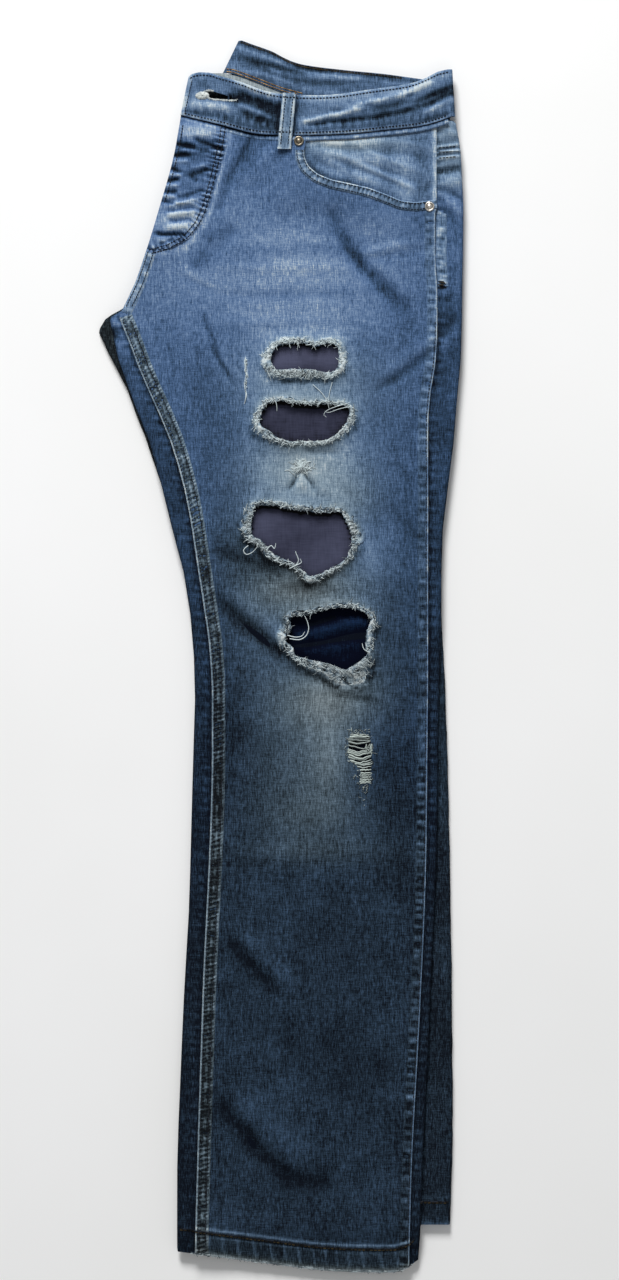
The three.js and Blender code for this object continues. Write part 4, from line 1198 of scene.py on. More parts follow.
@dataclass
class FrontPanel:
    """The left front, with its pocket scoop and rips cut out; its rows are closest at the rips and the hem."""

    front: Front
    row: float = 2.1
    rip_row: float = 1.6
    shin_row: float = 3.8
    hem_row: float = 1.2
    hem_zone: float = 30.0
    rips_end: float = -24.0
    knee_y: float = -120.0
    columns: int = 108
    crowding: float = 0.4
    cell: float = 2.3
    cloth: float = 1.2
    hem_fold: float = 1.0

    def build(self, made: Made) -> Draft:
        """Makes the panel.

        Args:
            made: where the piece goes.

        Returns:
            Its mesh.
        """
        f = self.front
        stops = (f.waist_y, f.crotch_y, self.rips_end, self.knee_y, f.hem_y + self.hem_zone, f.hem_y)
        rows = (self.row, self.rip_row, self.row, self.shin_row, self.hem_row)
        level = np.concatenate([
            np.linspace(a, b, int((a - b) / row), endpoint=b == f.hem_y) for a, b, row in zip(stops, stops[1:], rows)
        ])[:, None]
        even = np.linspace(0, 1, self.columns)[None, :]
        along = even + self.crowding * np.sin(2 * math.pi * even) / (2 * math.pi)
        x = f.inseam.at(level) * (1 - along) + f.side.at(level) * along
        places = np.stack([x.ravel(), f.bent(x, level).ravel()], axis=1)
        window = Loop(LadderWindow().edge(), 1.0, 0.3, 21)
        keep = cut_out(places, (pocket_scoop(), window, *f.loops), self.cell, 0.42)
        x, y = (places[:, k].reshape(x.shape) for k in (0, 1))
        sheet = Draft.laid(x, y, f.height(x, y), *f.wear_and_shade(x, y)).kept(keep)
        x, y, _ = sheet.points.T
        shell = sheet.thick(np.where(y - f.hem.at(x) < f.hem_depth, self.cloth + self.hem_fold, self.cloth))
        made.add("left_front", shell, Denim(), "denim_front", ["left_front"])
        return shell


@dataclass
class FlyFacing:
    """The doubled cloth of the fly, gathered unevenly by the stitching that holds it down."""

    front: Front
    row: float = 1.0
    columns: int = 48
    lap: float = 2.2
    rise: float = 0.5
    clear: float = 0.1
    lowest: float = 353.0
    period: float = 4.4
    creases: tuple[Crease, ...] = pressed(
        (-91, 446, -75, 442.5, 2.0, -1.6), (-93, 435.5, -79, 436, 2.0, -1.6), (-97, 425.5, -87, 420.7, 1.8, -1.5),
        (-100, 413.5, -88, 414.6, 1.8, -1.5), (-102, 404, -90, 403.4, 1.8, -1.4),
        (-105, 396.8, -92, 392.8, 1.6, -1.0), (-74, 449.6, -50, 441, 2.2, -1.5), (-85, 445, -56, 434.5, 3.0, -0.6),
        (-80, 418, -61, 423.5, 2.2, -1.2), (-78, 417, -72, 412.5, 2.0, -0.8), (-88, 399, -66, 405, 1.8, -0.9),
        (-100, 387, -76, 389, 1.8, -0.9), (-97, 378.5, -78, 379, 2.0, -1.1), (-108, 367.4, -83, 366.2, 1.7, -2.2),
        (-105, 358, -92, 362, 1.5, -1.0), (-87, 461, -52, 455, 4.5, 1.0), (-86, 453, -60, 452.5, 2.6, 0.9),
        (-88, 440.5, -70, 438, 1.8, 1.0), (-93, 430, -80, 430, 1.8, 1.1), (-98, 418.8, -86, 417.6, 1.7, 1.2),
        (-100, 409, -88, 408.8, 1.7, 1.3), (-103, 400.3, -91, 398.6, 1.7, 1.2), (-66, 436.5, -53, 437.5, 1.8, 0.9),
        (-76, 424.5, -63, 427, 1.8, 0.8), (-97, 391.8, -72, 396.8, 1.5, 1.1), (-93, 394.5, -73, 393, 1.2, 0.9),
        (-98, 384, -75, 385.6, 2.2, 1.1), (-99, 373, -80, 373.5, 2.4, 0.8), (-105, 362.6, -95, 357, 1.6, 1.0),
    )
    # The darker patch at (-74, 438) is painted shade over the fly's upper middle.
    fades: tuple[Fade, ...] = patches(
        (-90, 379, 20, 13, 0.26), (-78, 383, 12, 14, 0.12), (-76, 456, 16, 8, 0.14), (-68, 430, 22, 14, -0.05),
        (-74, 438, 20, 6, -0.16),
    )

    def build(self, made: Made) -> None:
        """Makes the fly's cloth on the front."""
        f = self.front
        level = np.arange(f.waist_y, self.lowest, -self.row)[:, None]
        across = np.linspace(0, 1, self.columns)[None, :]
        left = f.inseam.at(level) + 0.2
        x = left * (1 - across) + np.maximum(FLY_LINE.at(level) + self.lap, left + 1) * across
        y = f.bent(x, level)
        pull = relief(self.creases, x, y) + self._gather(x, y)
        edge = ease(0.0, 2.0, (1 - across) * (x[:, -1:] - x[:, :1]))
        ground = f.height(x, y)
        z = ground + (f.fly_drop * f.in_fly(x, y) + self.rise + np.clip(pull, -1.6, 1.8)) * edge + self.clear
        fade, grey = f.wear_and_shade(x, y)
        # Painted light and shade: the puckers are paler on top and darker between them, and a dark line just under the
        # waistband is its painted shadow.
        fade = fade + (0.34 * np.clip(pull, -1.9, 0) + 0.25 * np.clip(pull, 0, 1.2)) * edge
        fade = fade + paleness(self.fades, x, y) - 0.5 * swell(f.waist.at(x) - y - 1.0, 1.2)
        sheet = Draft.laid(x, y, np.maximum(z, ground + self.clear), np.clip(fade, -0.1, 1.0), grey)
        back = np.stack([x, y, ground - 0.4], axis=-1).reshape(-1, 3)
        made.add("fly_facing", sheet.shell(back), Denim(), "denim_front")

    def _gather(self, x: Array, y: Array) -> Array:
        """Returns the small puckers that the stitching pulls into the fly."""
        seam = spaced([(float(FLY_LINE.at(v)), v) for v in np.arange(466, 347, -4.0)], 1.0)
        gap = np.hypot(x[..., None] - seam[:, 0], y[..., None] - seam[:, 1])
        along, off = gap.argmin(axis=-1), gap.min(axis=-1)
        uneven, fleck = Lattice.unevenness(221, 7.0, 7.0), Lattice.unevenness(223, 2.4, 2.4)
        drift = 3 * uneven.at(along - 100.0, 0.0 * along)
        pucker = np.sin(2 * math.pi * along / self.period + drift) * swell(off - 1.5, 6.6)
        return 0.85 * pucker * (1 + 0.7 * uneven.at(x, y)) + 0.12 * fleck.at(x, y)


@dataclass
class Band:
    """A felled seam: a raised band beside an edge, pulled into puckers by its stitching.

    Its paleness changes at its edge and its far edge and with its puckers (contrast): paler on their tops, partly
    worn and partly painted highlight, and darker in their hollows as painted shade. The puckers lean, and are
    broken up by blots; rows of stitching dent it, and ticks of thread show where it is worked.
    """

    width: float
    rise: float
    pucker: float
    period: float
    seed: int
    paler: float = 0.0
    contrast: float = 0.16
    edge_paler: float = 0.26
    far_paler: float = 0.10
    greyer: float = 0.0
    lean: float = 0.0
    broken: float = 0.35
    columns: int = 11
    rows: tuple[float, ...] = ()
    dent: float = 1.5
    worked: float = 0.0

    TICK = 2.9
    FLOOR = 0.35

    def draft(self, path: Array, height: Height, wear_and_shade: WearAndShade, side: int) -> Draft:
        """Returns the band's mesh.

        Args:
            path: evenly spaced (x, y) points of the edge.
            height: the surface that it lies on.
            wear_and_shade: that surface's paleness and greyness.
            side: 1 if the band lies to the left of the path, -1 to the right.

        Returns:
            A closed shell.
        """
        across, along = np.linspace(0, 1, self.columns)[None, :], run_length(path)[:, None]
        inset, off = across * self.width, beside(path) * side
        x, y = (path[:, [k]] + off[:, [k]] * across * self.width for k in (0, 1))
        uneven = Lattice.unevenness(self.seed, 9.0, 9.0)
        worked = self.worked * ease(0.55, 0.05, along / along[-1])
        pull = self._pull(across, along, uneven, worked)
        ground = height(x, y)
        crown = np.clip(np.minimum(across, 1 - across) * self.width / 0.9, 0, 1) ** 0.5
        z = ground + self.rise * crown + self.pucker * pull
        fade, grey = wear_and_shade(x, y)
        fleck = uneven.at(x * 3.1, y * 3.1)
        # Painted light and shade on the puckers, through contrast: paler tops, darker hollows.
        fade = fade + self.paler - 0.08 * worked + self.contrast * pull + 0.04 * fleck
        fade = fade + stripes(inset, (0, 1.1, self.edge_paler + 0.10 * fleck))
        fade = fade + stripes(self.width - inset, (0, 1.0, self.far_paler + 0.05 * fleck))
        sheet = Draft.laid(x, y, z, np.clip(fade, -0.3, 1.1), np.clip(grey + self.greyer, 0, 1))
        if side < 0:
            sheet.faces = sheet.faces[:, ::-1]
        return sheet.shell(np.stack([x, y, ground - self.FLOOR], axis=-1).reshape(-1, 3))

    def _pull(self, across: Array, along: Array, uneven: Lattice, worked: Array) -> Array:
        """Returns how far the stitching pulls the band up or down.

        Args:
            across: share of the width.
            along: distance along the path.
            uneven: the band's unevenness.
            worked: how much the ticks of thread show.

        Returns:
            The pull, from about -1 to 1.
        """
        inset = across * self.width
        drift = uneven.at(along * 0.45 - 200, np.zeros_like(along))
        strength = 0.75 + 0.45 * uneven.at(along * 0.3 - 200, np.full_like(along, 90.0))
        wave = np.sin(2 * math.pi * (along + self.lean * across * self.width) / self.period + 4.5 * drift)
        wave = wave + 0.35 * np.sin(4.7 * math.pi * along / self.period + 5 * drift)
        blot = Lattice.unevenness(self.seed + 1, 2.2, 2.2).at(0.5 * inset + 0.2 * along - 200, along - 420)
        body = np.sin(math.pi * across) ** 0.6
        pull = (wave * strength * (1 - self.broken) + 1.6 * blot * self.broken) * body
        for row in self.rows:
            dent = 0.7 + 0.5 * np.roll(wave, int(row), axis=0) + 0.5 * blot
            pull = pull - swell(inset - row, self.dent) * dent
        show = self.worked * 0.5 + 0.5 * worked
        ticks = np.sin(2 * math.pi * (along + 0.5 * inset) / self.TICK + 3 * drift)
        ticks = ticks * stripes(across, (0.2, 0.16, 1), (0.85, 0.14, 1))
        return pull * (1 + 0.5 * show) + 0.9 * show * ticks * (1 + 0.6 * blot)


@dataclass
class BackPanel:
    """The left back and its yoke, rolled round to the front at the side and at the inseam."""

    front: Front
    lap: float = 8.0
    cloth: float = 1.2
    roll: float = 3.2
    yoke_y: float = 438.8
    yoke_gap: float = 0.2
    rows: int = 250
    yoke_rows: int = 34
    pucker: float = 8.5
    creases: tuple[Crease, ...] = pressed(
        (137, 421, 156, 424, 3.0, -2.0), (140, 411, 158, 414, 4.5, 0.9), (142, 406, 158, 398, 3.0, -0.9),
        (146, 398, 157, 384, 3.0, 0.9), (140, 392, 152, 376, 3.2, -1.0), (138, 280, 152, 296, 4.0, -1.1),
        (140, 268, 154, 282, 4.0, 0.8), (138, 460, 156, 452, 3.0, 0.7), (140, 306, 150, 312, 3.0, -0.7),
        (-151, 285, -142, 278, 4.0, -2.0), (-150, 292, -138, 288, 3.0, 0.8), (140, 442, 158, 452, 3.0, -0.6),
    )
    fades: tuple[Fade, ...] = patches((-142, 291, 10, 8, 0.16), (-138, 272, 12, 14, 0.18), (-124, 225, 16, 34, 0.06))
    window: tuple[Point, Point] = ((-6.0, -26.0), (92.0, 52.0))
    window_cells: tuple[int, int] = (80, 70)
    inner_creases: tuple[Crease, ...] = pressed(
        (8, 17, 82, 31, 5.0, 1.2), (6, 8, 84, 18, 4.0, -0.8), (12, 4, 74, 9, 4.0, 0.6), (20, 26, 60, 36, 4.0, -0.8),
        (50, 34, 80, 24, 3.0, 0.5),
    )
    inner_shade: Fade = Fade(-52, 487, 22, 6, -0.9)

    STRIP, BEND, RUN = 8, 9, 10
    SEAM_END, SEAM_ROWS = 425, 15
    HIP_START, HIP_END, HIP_ROWS = 423, 305, 56
    INSIDE = Denim("inside_denim", 0.3, 0.1, 0.2, 0.2, 0.1)
    YOKE_SEAM = ((-5.2, 1.4, 1), (0.0, 1.4, 1), (5.2, 1.4, 1), (-2.6, 1.0, -0.7), (2.6, 1.0, -0.7))
    YOKE_TONE = Line.through((439, 0.54), (470, 0.58))
    # Paler at the yoke and darker down the leg: partly the cloth's own fading, partly painted shade for light that
    # falls off towards the hem.
    TONE = Line.through(
        (440, 0.58), (400, 0.52), (380, 0.48), (300, 0.345), (200, 0.265), (100, 0.20), (0, 0.16), (-200, 0.09),
        (-518, 0.07),
    )

    def __post_init__(self) -> None:
        """Reads the panel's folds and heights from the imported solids."""
        self.left, self.right = Outline("left_back").sides()
        self.yoke_right = Outline("left_yoke").sides()[1]
        low, high = corners("left_back")
        self.under = low[2] + self.cloth / 2
        self.strip = high[2] - self.cloth / 2
        self.back_waist = Outline("waistband_back").ends()[0]
        self.cockle = Lattice.unevenness(31, 14.0, 18.0)
        self.ripple = Lattice.unevenness(33, 5.0, 5.0)

    def height(self, x: Array, y: Array) -> Array:
        """Returns the height of the strip that shows beside the front."""
        return np.full(np.shape(x), self.strip + self.cloth / 2) + 0.16 * self.cockle.at(x, y)

    def wear_and_shade(self, x: Array, y: Array) -> tuple[Array, Array]:
        """Returns how pale and how grey that strip is."""
        fade = self.TONE.at(y) + 0.03 * self.cockle.at(x, y) + self._hip_fade(x, y)
        return fade, np.zeros(np.shape(x))

    @staticmethod
    def _hip_fade(x: Array, y: Array) -> Array:
        """Returns how much paler the hip is."""
        return 0.06 * ease(60, 140, x) * ease(280, 340, y)

    def section(self, level: float) -> tuple[Array, Array, Array]:
        """Returns one section, from under the side seam round to under the inseam.

        Args:
            level: its Y.

        Returns:
            The section's points (x, z), the way each faces, and 1 where the outside faces up.
        """
        f, strip, turn = self.front, self.STRIP, self.STRIP + self.BEND
        full = self.strip - self.under
        below = level <= f.crotch_y
        left_full = full if below else 1.5
        fold = self.right if level < self.yoke_y else self.yoke_right
        right_turn = float(fold.at(level)) - self.cloth / 2 - self.roll
        left_turn = float(self.left.at(level)) + self.cloth / 2 + self.roll
        left_end = float(f.inseam.at(level)) + self.lap if below else left_turn + 2
        right_end = float(f.side.at(level)) - self.lap
        bend = np.linspace(math.pi / 2, -math.pi / 2, self.BEND)
        back = bend[::-1]
        x = np.concatenate([
            np.linspace(right_end, right_turn, strip + 1)[:-1], right_turn + self.roll * np.cos(bend),
            np.linspace(right_turn, left_turn, self.RUN + 2)[1:-1], left_turn - self.roll * np.cos(back),
            np.linspace(left_turn, left_end, strip + 1)[1:],
        ])
        z = np.concatenate([
            np.full(strip, self.strip), self.under + full / 2 * (1 + np.sin(bend)), np.full(self.RUN, self.under),
            self.under + left_full / 2 * (1 + np.sin(back)), np.full(strip, self.under + left_full),
        ])
        shown = np.concatenate([
            np.ones(strip), (1 + np.sin(bend)) / 2, np.zeros(self.RUN), (1 + np.sin(back)) / 2, np.ones(strip),
        ])
        run_x, run_z = np.gradient(x), np.gradient(z)
        size = np.maximum(np.hypot(run_x, run_z), 1e-6)
        out = np.stack([-run_z / size, run_x / size], axis=1)
        out[:strip], out[-strip:], out[turn:turn + self.RUN] = (0, 1), (0, 1), (0, -1)
        return np.stack([x, z], axis=1), out, shown

    def _surface(self, x: Array, y: Array, shown: Array, tone: Line) -> tuple[Array, Array]:
        """Returns how far a section's cloth stands up from its wall, and how pale it is.

        Args:
            x: the section's places across.
            y: its places along.
            shown: 1 where its outside faces up.
            tone: how pale the cloth is for each Y.

        Returns:
            The lift and the paleness at each point.
        """
        gap = np.maximum(x - self.front.side.at(y), self.front.inseam.at(y) - x)
        cockle, drift = self.cockle.at(x, y), 2.2 * self.cockle.at(x * 0.3, y * 1.5)
        pull = np.sin(2 * math.pi * y / self.pucker + drift) * swell(gap - 3, 5.5) * shown
        rise = y - self.yoke_y - 0.12 * (x - 147)
        ridge = stripes(rise, *self.YOKE_SEAM) * shown * ease(130, 138, x)
        fold = relief(self.creases, x, y)
        lift = (0.16 * cockle + 0.28 * pull + 0.9 * ridge + 1.3 * fold) * shown - droop(y)
        # Puckers, the yoke seam's ridges and the creases are paler on top and darker below: partly worn ridges, partly
        # painted shade.
        fade = tone.at(y) + 0.04 * cockle + 0.03 * self.ripple.at(x, y) + 0.12 * pull + 0.30 * ridge + 0.19 * fold
        # Painted shadow along the front's edge, and painted shade where the cloth turns over its roll.
        fade = fade - 0.24 * swell(gap - 0.8, 1.6) * shown - 0.12 * swell(shown - 0.55, 0.35)
        return lift, fade + self._hip_fade(x, y) + paleness(self.fades, x, y)

    def wall(self, levels: Array, place: Callable[[float, Array, Array, int], Array], tone: Line,
             inside: float) -> tuple[Draft, float]:
        """Returns a wall through sections.

        Args:
            levels: the sections' levels, from the waist down.
            place: gives the Y of a section's points from its level, X, shown values and number.
            tone: how pale the cloth is for each Y.
            inside: how pale the inside face is.

        Returns:
            A closed shell, and the cloth's greatest width round its rolls.
        """
        outer, inner, fades, greys = [], [], [], []
        half = self.cloth / 2
        for number, level in enumerate(levels):
            points, out, shown = self.section(float(level))
            x, z = points.T
            y = place(float(level), x, shown, number)
            lift, fade = self._surface(x, y, shown, tone)
            outer.append(np.stack([x + out[:, 0] * half, y, z + out[:, 1] * half + lift], axis=1))
            inner.append(np.stack([x - out[:, 0] * half, y, z - out[:, 1] * half + lift], axis=1))
            fades.append(fade)
            greys.append(0.1 * ease(-120, -260, y) + 0.3 * ease(390, 430, y))
        sheet = Draft.grid(np.array(outer), fade=np.clip(np.array(fades), 0, 1), grey=np.array(greys))
        shell = sheet.shell(np.array(inner).reshape(-1, 3))
        count = len(sheet.points)
        x, y, _ = shell.points[count:].T
        shell.values["fade"][count:] = inside + paleness([self.inner_shade], x, y)
        shell.values["grey"][count:] = 1.0 if inside > 0 else 0.0
        runs = np.linalg.norm(np.diff(np.array(outer), axis=1), axis=2)
        return shell, float(runs.sum(axis=1).max())

    def inside(self, made: Made) -> None:
        """Makes the back's inner face where the lowest rip shows it, with the folds that lie there."""
        low, high = self.window
        columns, rows = self.window_cells
        x, y = np.meshgrid(np.linspace(low[0], high[0], columns), np.linspace(high[1], low[1], rows))
        fold, cockle = relief(self.inner_creases, x, y), self.cockle.at(x, y)
        edge = np.minimum(ease(0, 8, x - low[0]), ease(0, 8, high[0] - x))
        z = self.under + self.cloth / 2 + 0.5 + fold * edge + 0.1 * cockle
        # Painted shadow under the lowest rip's lip, and painted light and shade on the folds: paler ridges, darker
        # troughs.
        fade = -0.01 + 0.11 * fold + 0.02 * cockle - 0.6 * self.front.shade(x, y)
        made.add("back_inside", Draft.laid(x, y, z, np.clip(fade, -0.3, 1), -0.3).thick(0.4), self.INSIDE, "denim_back")

    def build(self, made: Made) -> tuple[tuple[Draft, float], tuple[Draft, float]]:
        """Makes the back panel and the yoke, and returns each one's mesh and flat width."""
        f = self.front

        def hem(level: float, x: Array, shown: Array, number: int) -> Array:
            """Returns the row's Y, bent to follow the hem."""
            return level + (f.hem.at(x) - f.hem_y) * ease(f.hem_y + f.hem_bend, f.hem_y, level)

        def up_to_band(level: float, x: Array, shown: Array, number: int) -> Array:
            """Returns the row's Y, spread between the yoke seam and the waist seam."""
            in_front = (shown > 0.5) & (x > 0)
            seam = np.where(in_front, f.waist.at(np.minimum(x, 146)), self.back_waist.at(x)) - 0.3
            share = number / self.yoke_rows
            return seam * (1 - share) + (self.yoke_y + self.yoke_gap) * share

        levels = np.concatenate([
            np.linspace(self.yoke_y - self.yoke_gap, self.SEAM_END, self.SEAM_ROWS),
            np.linspace(self.HIP_START, self.HIP_END, self.HIP_ROWS), [f.crotch_y],
            np.linspace(f.crotch_y, f.hem_y, self.rows)[1:],
        ])
        back, back_width = self.wall(levels, hem, self.TONE, -0.10)
        made.add("left_back", back, Denim(), "denim_back", ["left_back"])
        self.inside(made)
        yoke_levels = np.linspace(f.waist_y, self.yoke_y + self.yoke_gap, self.yoke_rows + 1)
        yoke, yoke_width = self.wall(yoke_levels, up_to_band, self.YOKE_TONE, 0.70)
        made.add("left_yoke", yoke, Denim(), "denim_back", ["left_yoke"])
        return (back, back_width), (yoke, yoke_width)


@dataclass
class UnderHalf:
    """The half folded underneath: two layers that show at the edges, and the right leg's hem."""

    rows: int = 260
    hem_depth: float = 20.0
    rope: float = 9.0

    RIM_TOP = 6.0
    RIM = (
        (2.0, 0.0), (0.7, 0.25), (0.1, 0.8), (0.0, 1.4), (0.2, 2.0), (0.9, 2.6), (2.4, 3.0), (1.6, 3.3),
        (0.9, 3.9), (0.7, 4.6), (1.0, 5.3), (1.8, 5.8), (3.2, 6.0), (7.0, 6.0), (14.0, 6.0), (22.0, 6.0),
    )

    def build(self, made: Made) -> Draft:
        """Makes the half and returns its mesh."""
        left, right = Outline("right_half").sides()
        low, high = corners("right_half")
        end = low[1]
        y = np.linspace(high[1] - 0.5, end + 0.5, self.rows)
        rim = np.array(self.RIM) * (1.0, high[2] / self.RIM_TOP)
        x_right, x_left = right.at(y)[:, None] - rim[None, :, 0], left.at(y)[:, None] + rim[None, ::-1, 0]
        narrow = (x_right[:, -1:] - x_left[:, :1]) < 2
        middle = (right.at(y) + left.at(y))[:, None] / 2
        x = np.hstack([
            np.where(narrow, np.maximum(x_right, middle + 0.5), x_right),
            np.where(narrow, np.minimum(x_left, middle - 0.5), x_left),
        ])
        z = np.broadcast_to(np.hstack([rim[:, 1], rim[::-1, 1]]), x.shape)
        y = np.broadcast_to(y[:, None], x.shape)
        cockle, ripple = Lattice.unevenness(41, 12.0, 16.0), Lattice.unevenness(43, 4.5, 6.0)
        upper = ease(3.4, 4.6, z)
        hem = ease(self.hem_depth + 1.5, self.hem_depth - 1.5, y - end)
        rope = np.sin(2 * math.pi * (x + 0.3 * (y - end)) / self.rope) * hem
        z = z - 0.16 * upper * np.abs(cockle.at(x, y)) - 0.12 * upper * (1 - rope) * hem
        x = x + 0.5 * ripple.at(np.zeros_like(x), y) * np.where(x > 0, 0.6, -0.6)
        fade = 0.09 + 0.09 * ease(-200, 330, y) + 0.03 * cockle.at(x, y) + 0.03 * ripple.at(x, y) + 0.05 * rope
        fade = fade + stripes(
            y - end, (self.hem_depth + 2.5, 1.6, 0.42), (self.hem_depth - 0.5, 1.5, -0.1), (0, 1.6, 0.3)
        )
        shaded = (x < 0) * ease(130, 180, y) * ease(305, 290, y)
        fade = fade - 0.16 * shaded - 0.02 * (x > 0) * ease(-260, -330, y)
        points = np.stack([x, y, z], axis=-1)
        sheet = Draft.grid(points, around=True, fade=np.clip(fade, 0, 1), grey=0.2 + 0.5 * shaded)
        sides = x.shape[1]
        caps = []
        for start, turn in ((0, 1), ((self.rows - 1) * sides, -1)):
            ring = [start + k for k in range(sides)][::turn]
            caps += [[ring[k], ring[k + 1], ring[-k - 2], ring[-k - 1]] for k in range(sides // 2 - 1)]
        shell = Draft(sheet.points, np.vstack([sheet.faces[:, ::-1], np.array(caps)]), sheet.values)
        made.add("right_half", shell, Denim(), "denim_under", ["right_half"])
        return shell


@dataclass
class PocketFacing:
    """The cloth that shows inside the pocket's scoop."""

    cell: float = 2.0
    rows: int = 40
    cloth: float = 1.2
    creases: tuple[Crease, ...] = pressed(
        (25, 447, 120, 445, 3.0, 0.7), (30, 440, 90, 426, 3.0, 0.8), (55, 435, 114, 406, 2.6, 0.9),
        (44, 427, 98, 402, 2.6, 0.7), (76, 437, 128, 418, 2.8, 0.8), (34, 444, 100, 436, 2.6, -0.8),
        (48, 432, 104, 408, 2.4, -0.9), (70, 432, 120, 410, 2.6, -0.8), (94, 441, 132, 430, 3.0, -0.8),
        (66, 445, 104, 427, 1.6, 0.6), (86, 420, 120, 404, 1.6, 0.5), (28, 432, 60, 418, 3.4, -1.0),
        (110, 446, 132, 440, 2.6, 0.6), (118, 402, 134, 410, 3.0, -0.8),
    )
    fades: tuple[Fade, ...] = patches((42, 450, 26, 7, 0.22), (110, 450, 20, 6, -0.19))
    # A painted sheen: the facing is greyer in a patch near its top.
    dull: Fade = Fade(60, 446, 40, 9, 0.3)

    def build(self, made: Made, front: Front) -> Draft:
        """Makes the facing.

        Args:
            made: where the piece goes.
            front: the panel that laps over it.

        Returns:
            Its mesh.
        """
        low_edge, high_edge = Outline("pocket_facing").ends()
        low, high = corners("pocket_facing")
        along = np.linspace(low[0], high[0], int((high[0] - low[0]) / self.cell))[None, :]
        down = np.linspace(0, 1, self.rows)[:, None]
        x = np.broadcast_to(along, (self.rows, along.size))
        y = high_edge.at(x) * (1 - down) + low_edge.at(x) * down
        gap = pocket_scoop().distance(x, y)[0]
        cockle = Lattice.unevenness(51, 11.0, 9.0)
        folds = relief(self.creases, x, y) + 0.2 * cockle.at(x, y)
        z = high[2] + (folds + 0.1) * ease(-2, -9, gap)
        # Painted light and shade on the folds: paler ridges, darker troughs.
        fade = 0.63 + paleness(self.fades, x, y) + 0.13 * np.clip(folds, -1.3, 1.3)
        fade = fade + 0.08 * cockle.at(x * 1.7, y * 2) + 0.12 * swell(y - front.waist.at(x) + 4, 6)
        # Painted shadow of the pocket's edge on the facing along the scoop.
        fade = fade - 0.34 * swell(gap + 1.0, 3.0) * ease(130, 60, x)
        fade = fade + stripes(x, (122, 14, -0.10), (134.6, 1.8, 0.4))
        # Painted sheen greys the facing near its top.
        grey = 0.12 + paleness([self.dull], x, y)
        shell = Draft.laid(x, y, z, np.clip(fade, 0, 1), grey).thick(self.cloth)
        made.add("pocket_facing", shell, Denim(), "denim_front", ["pocket_facing"])
        return shell


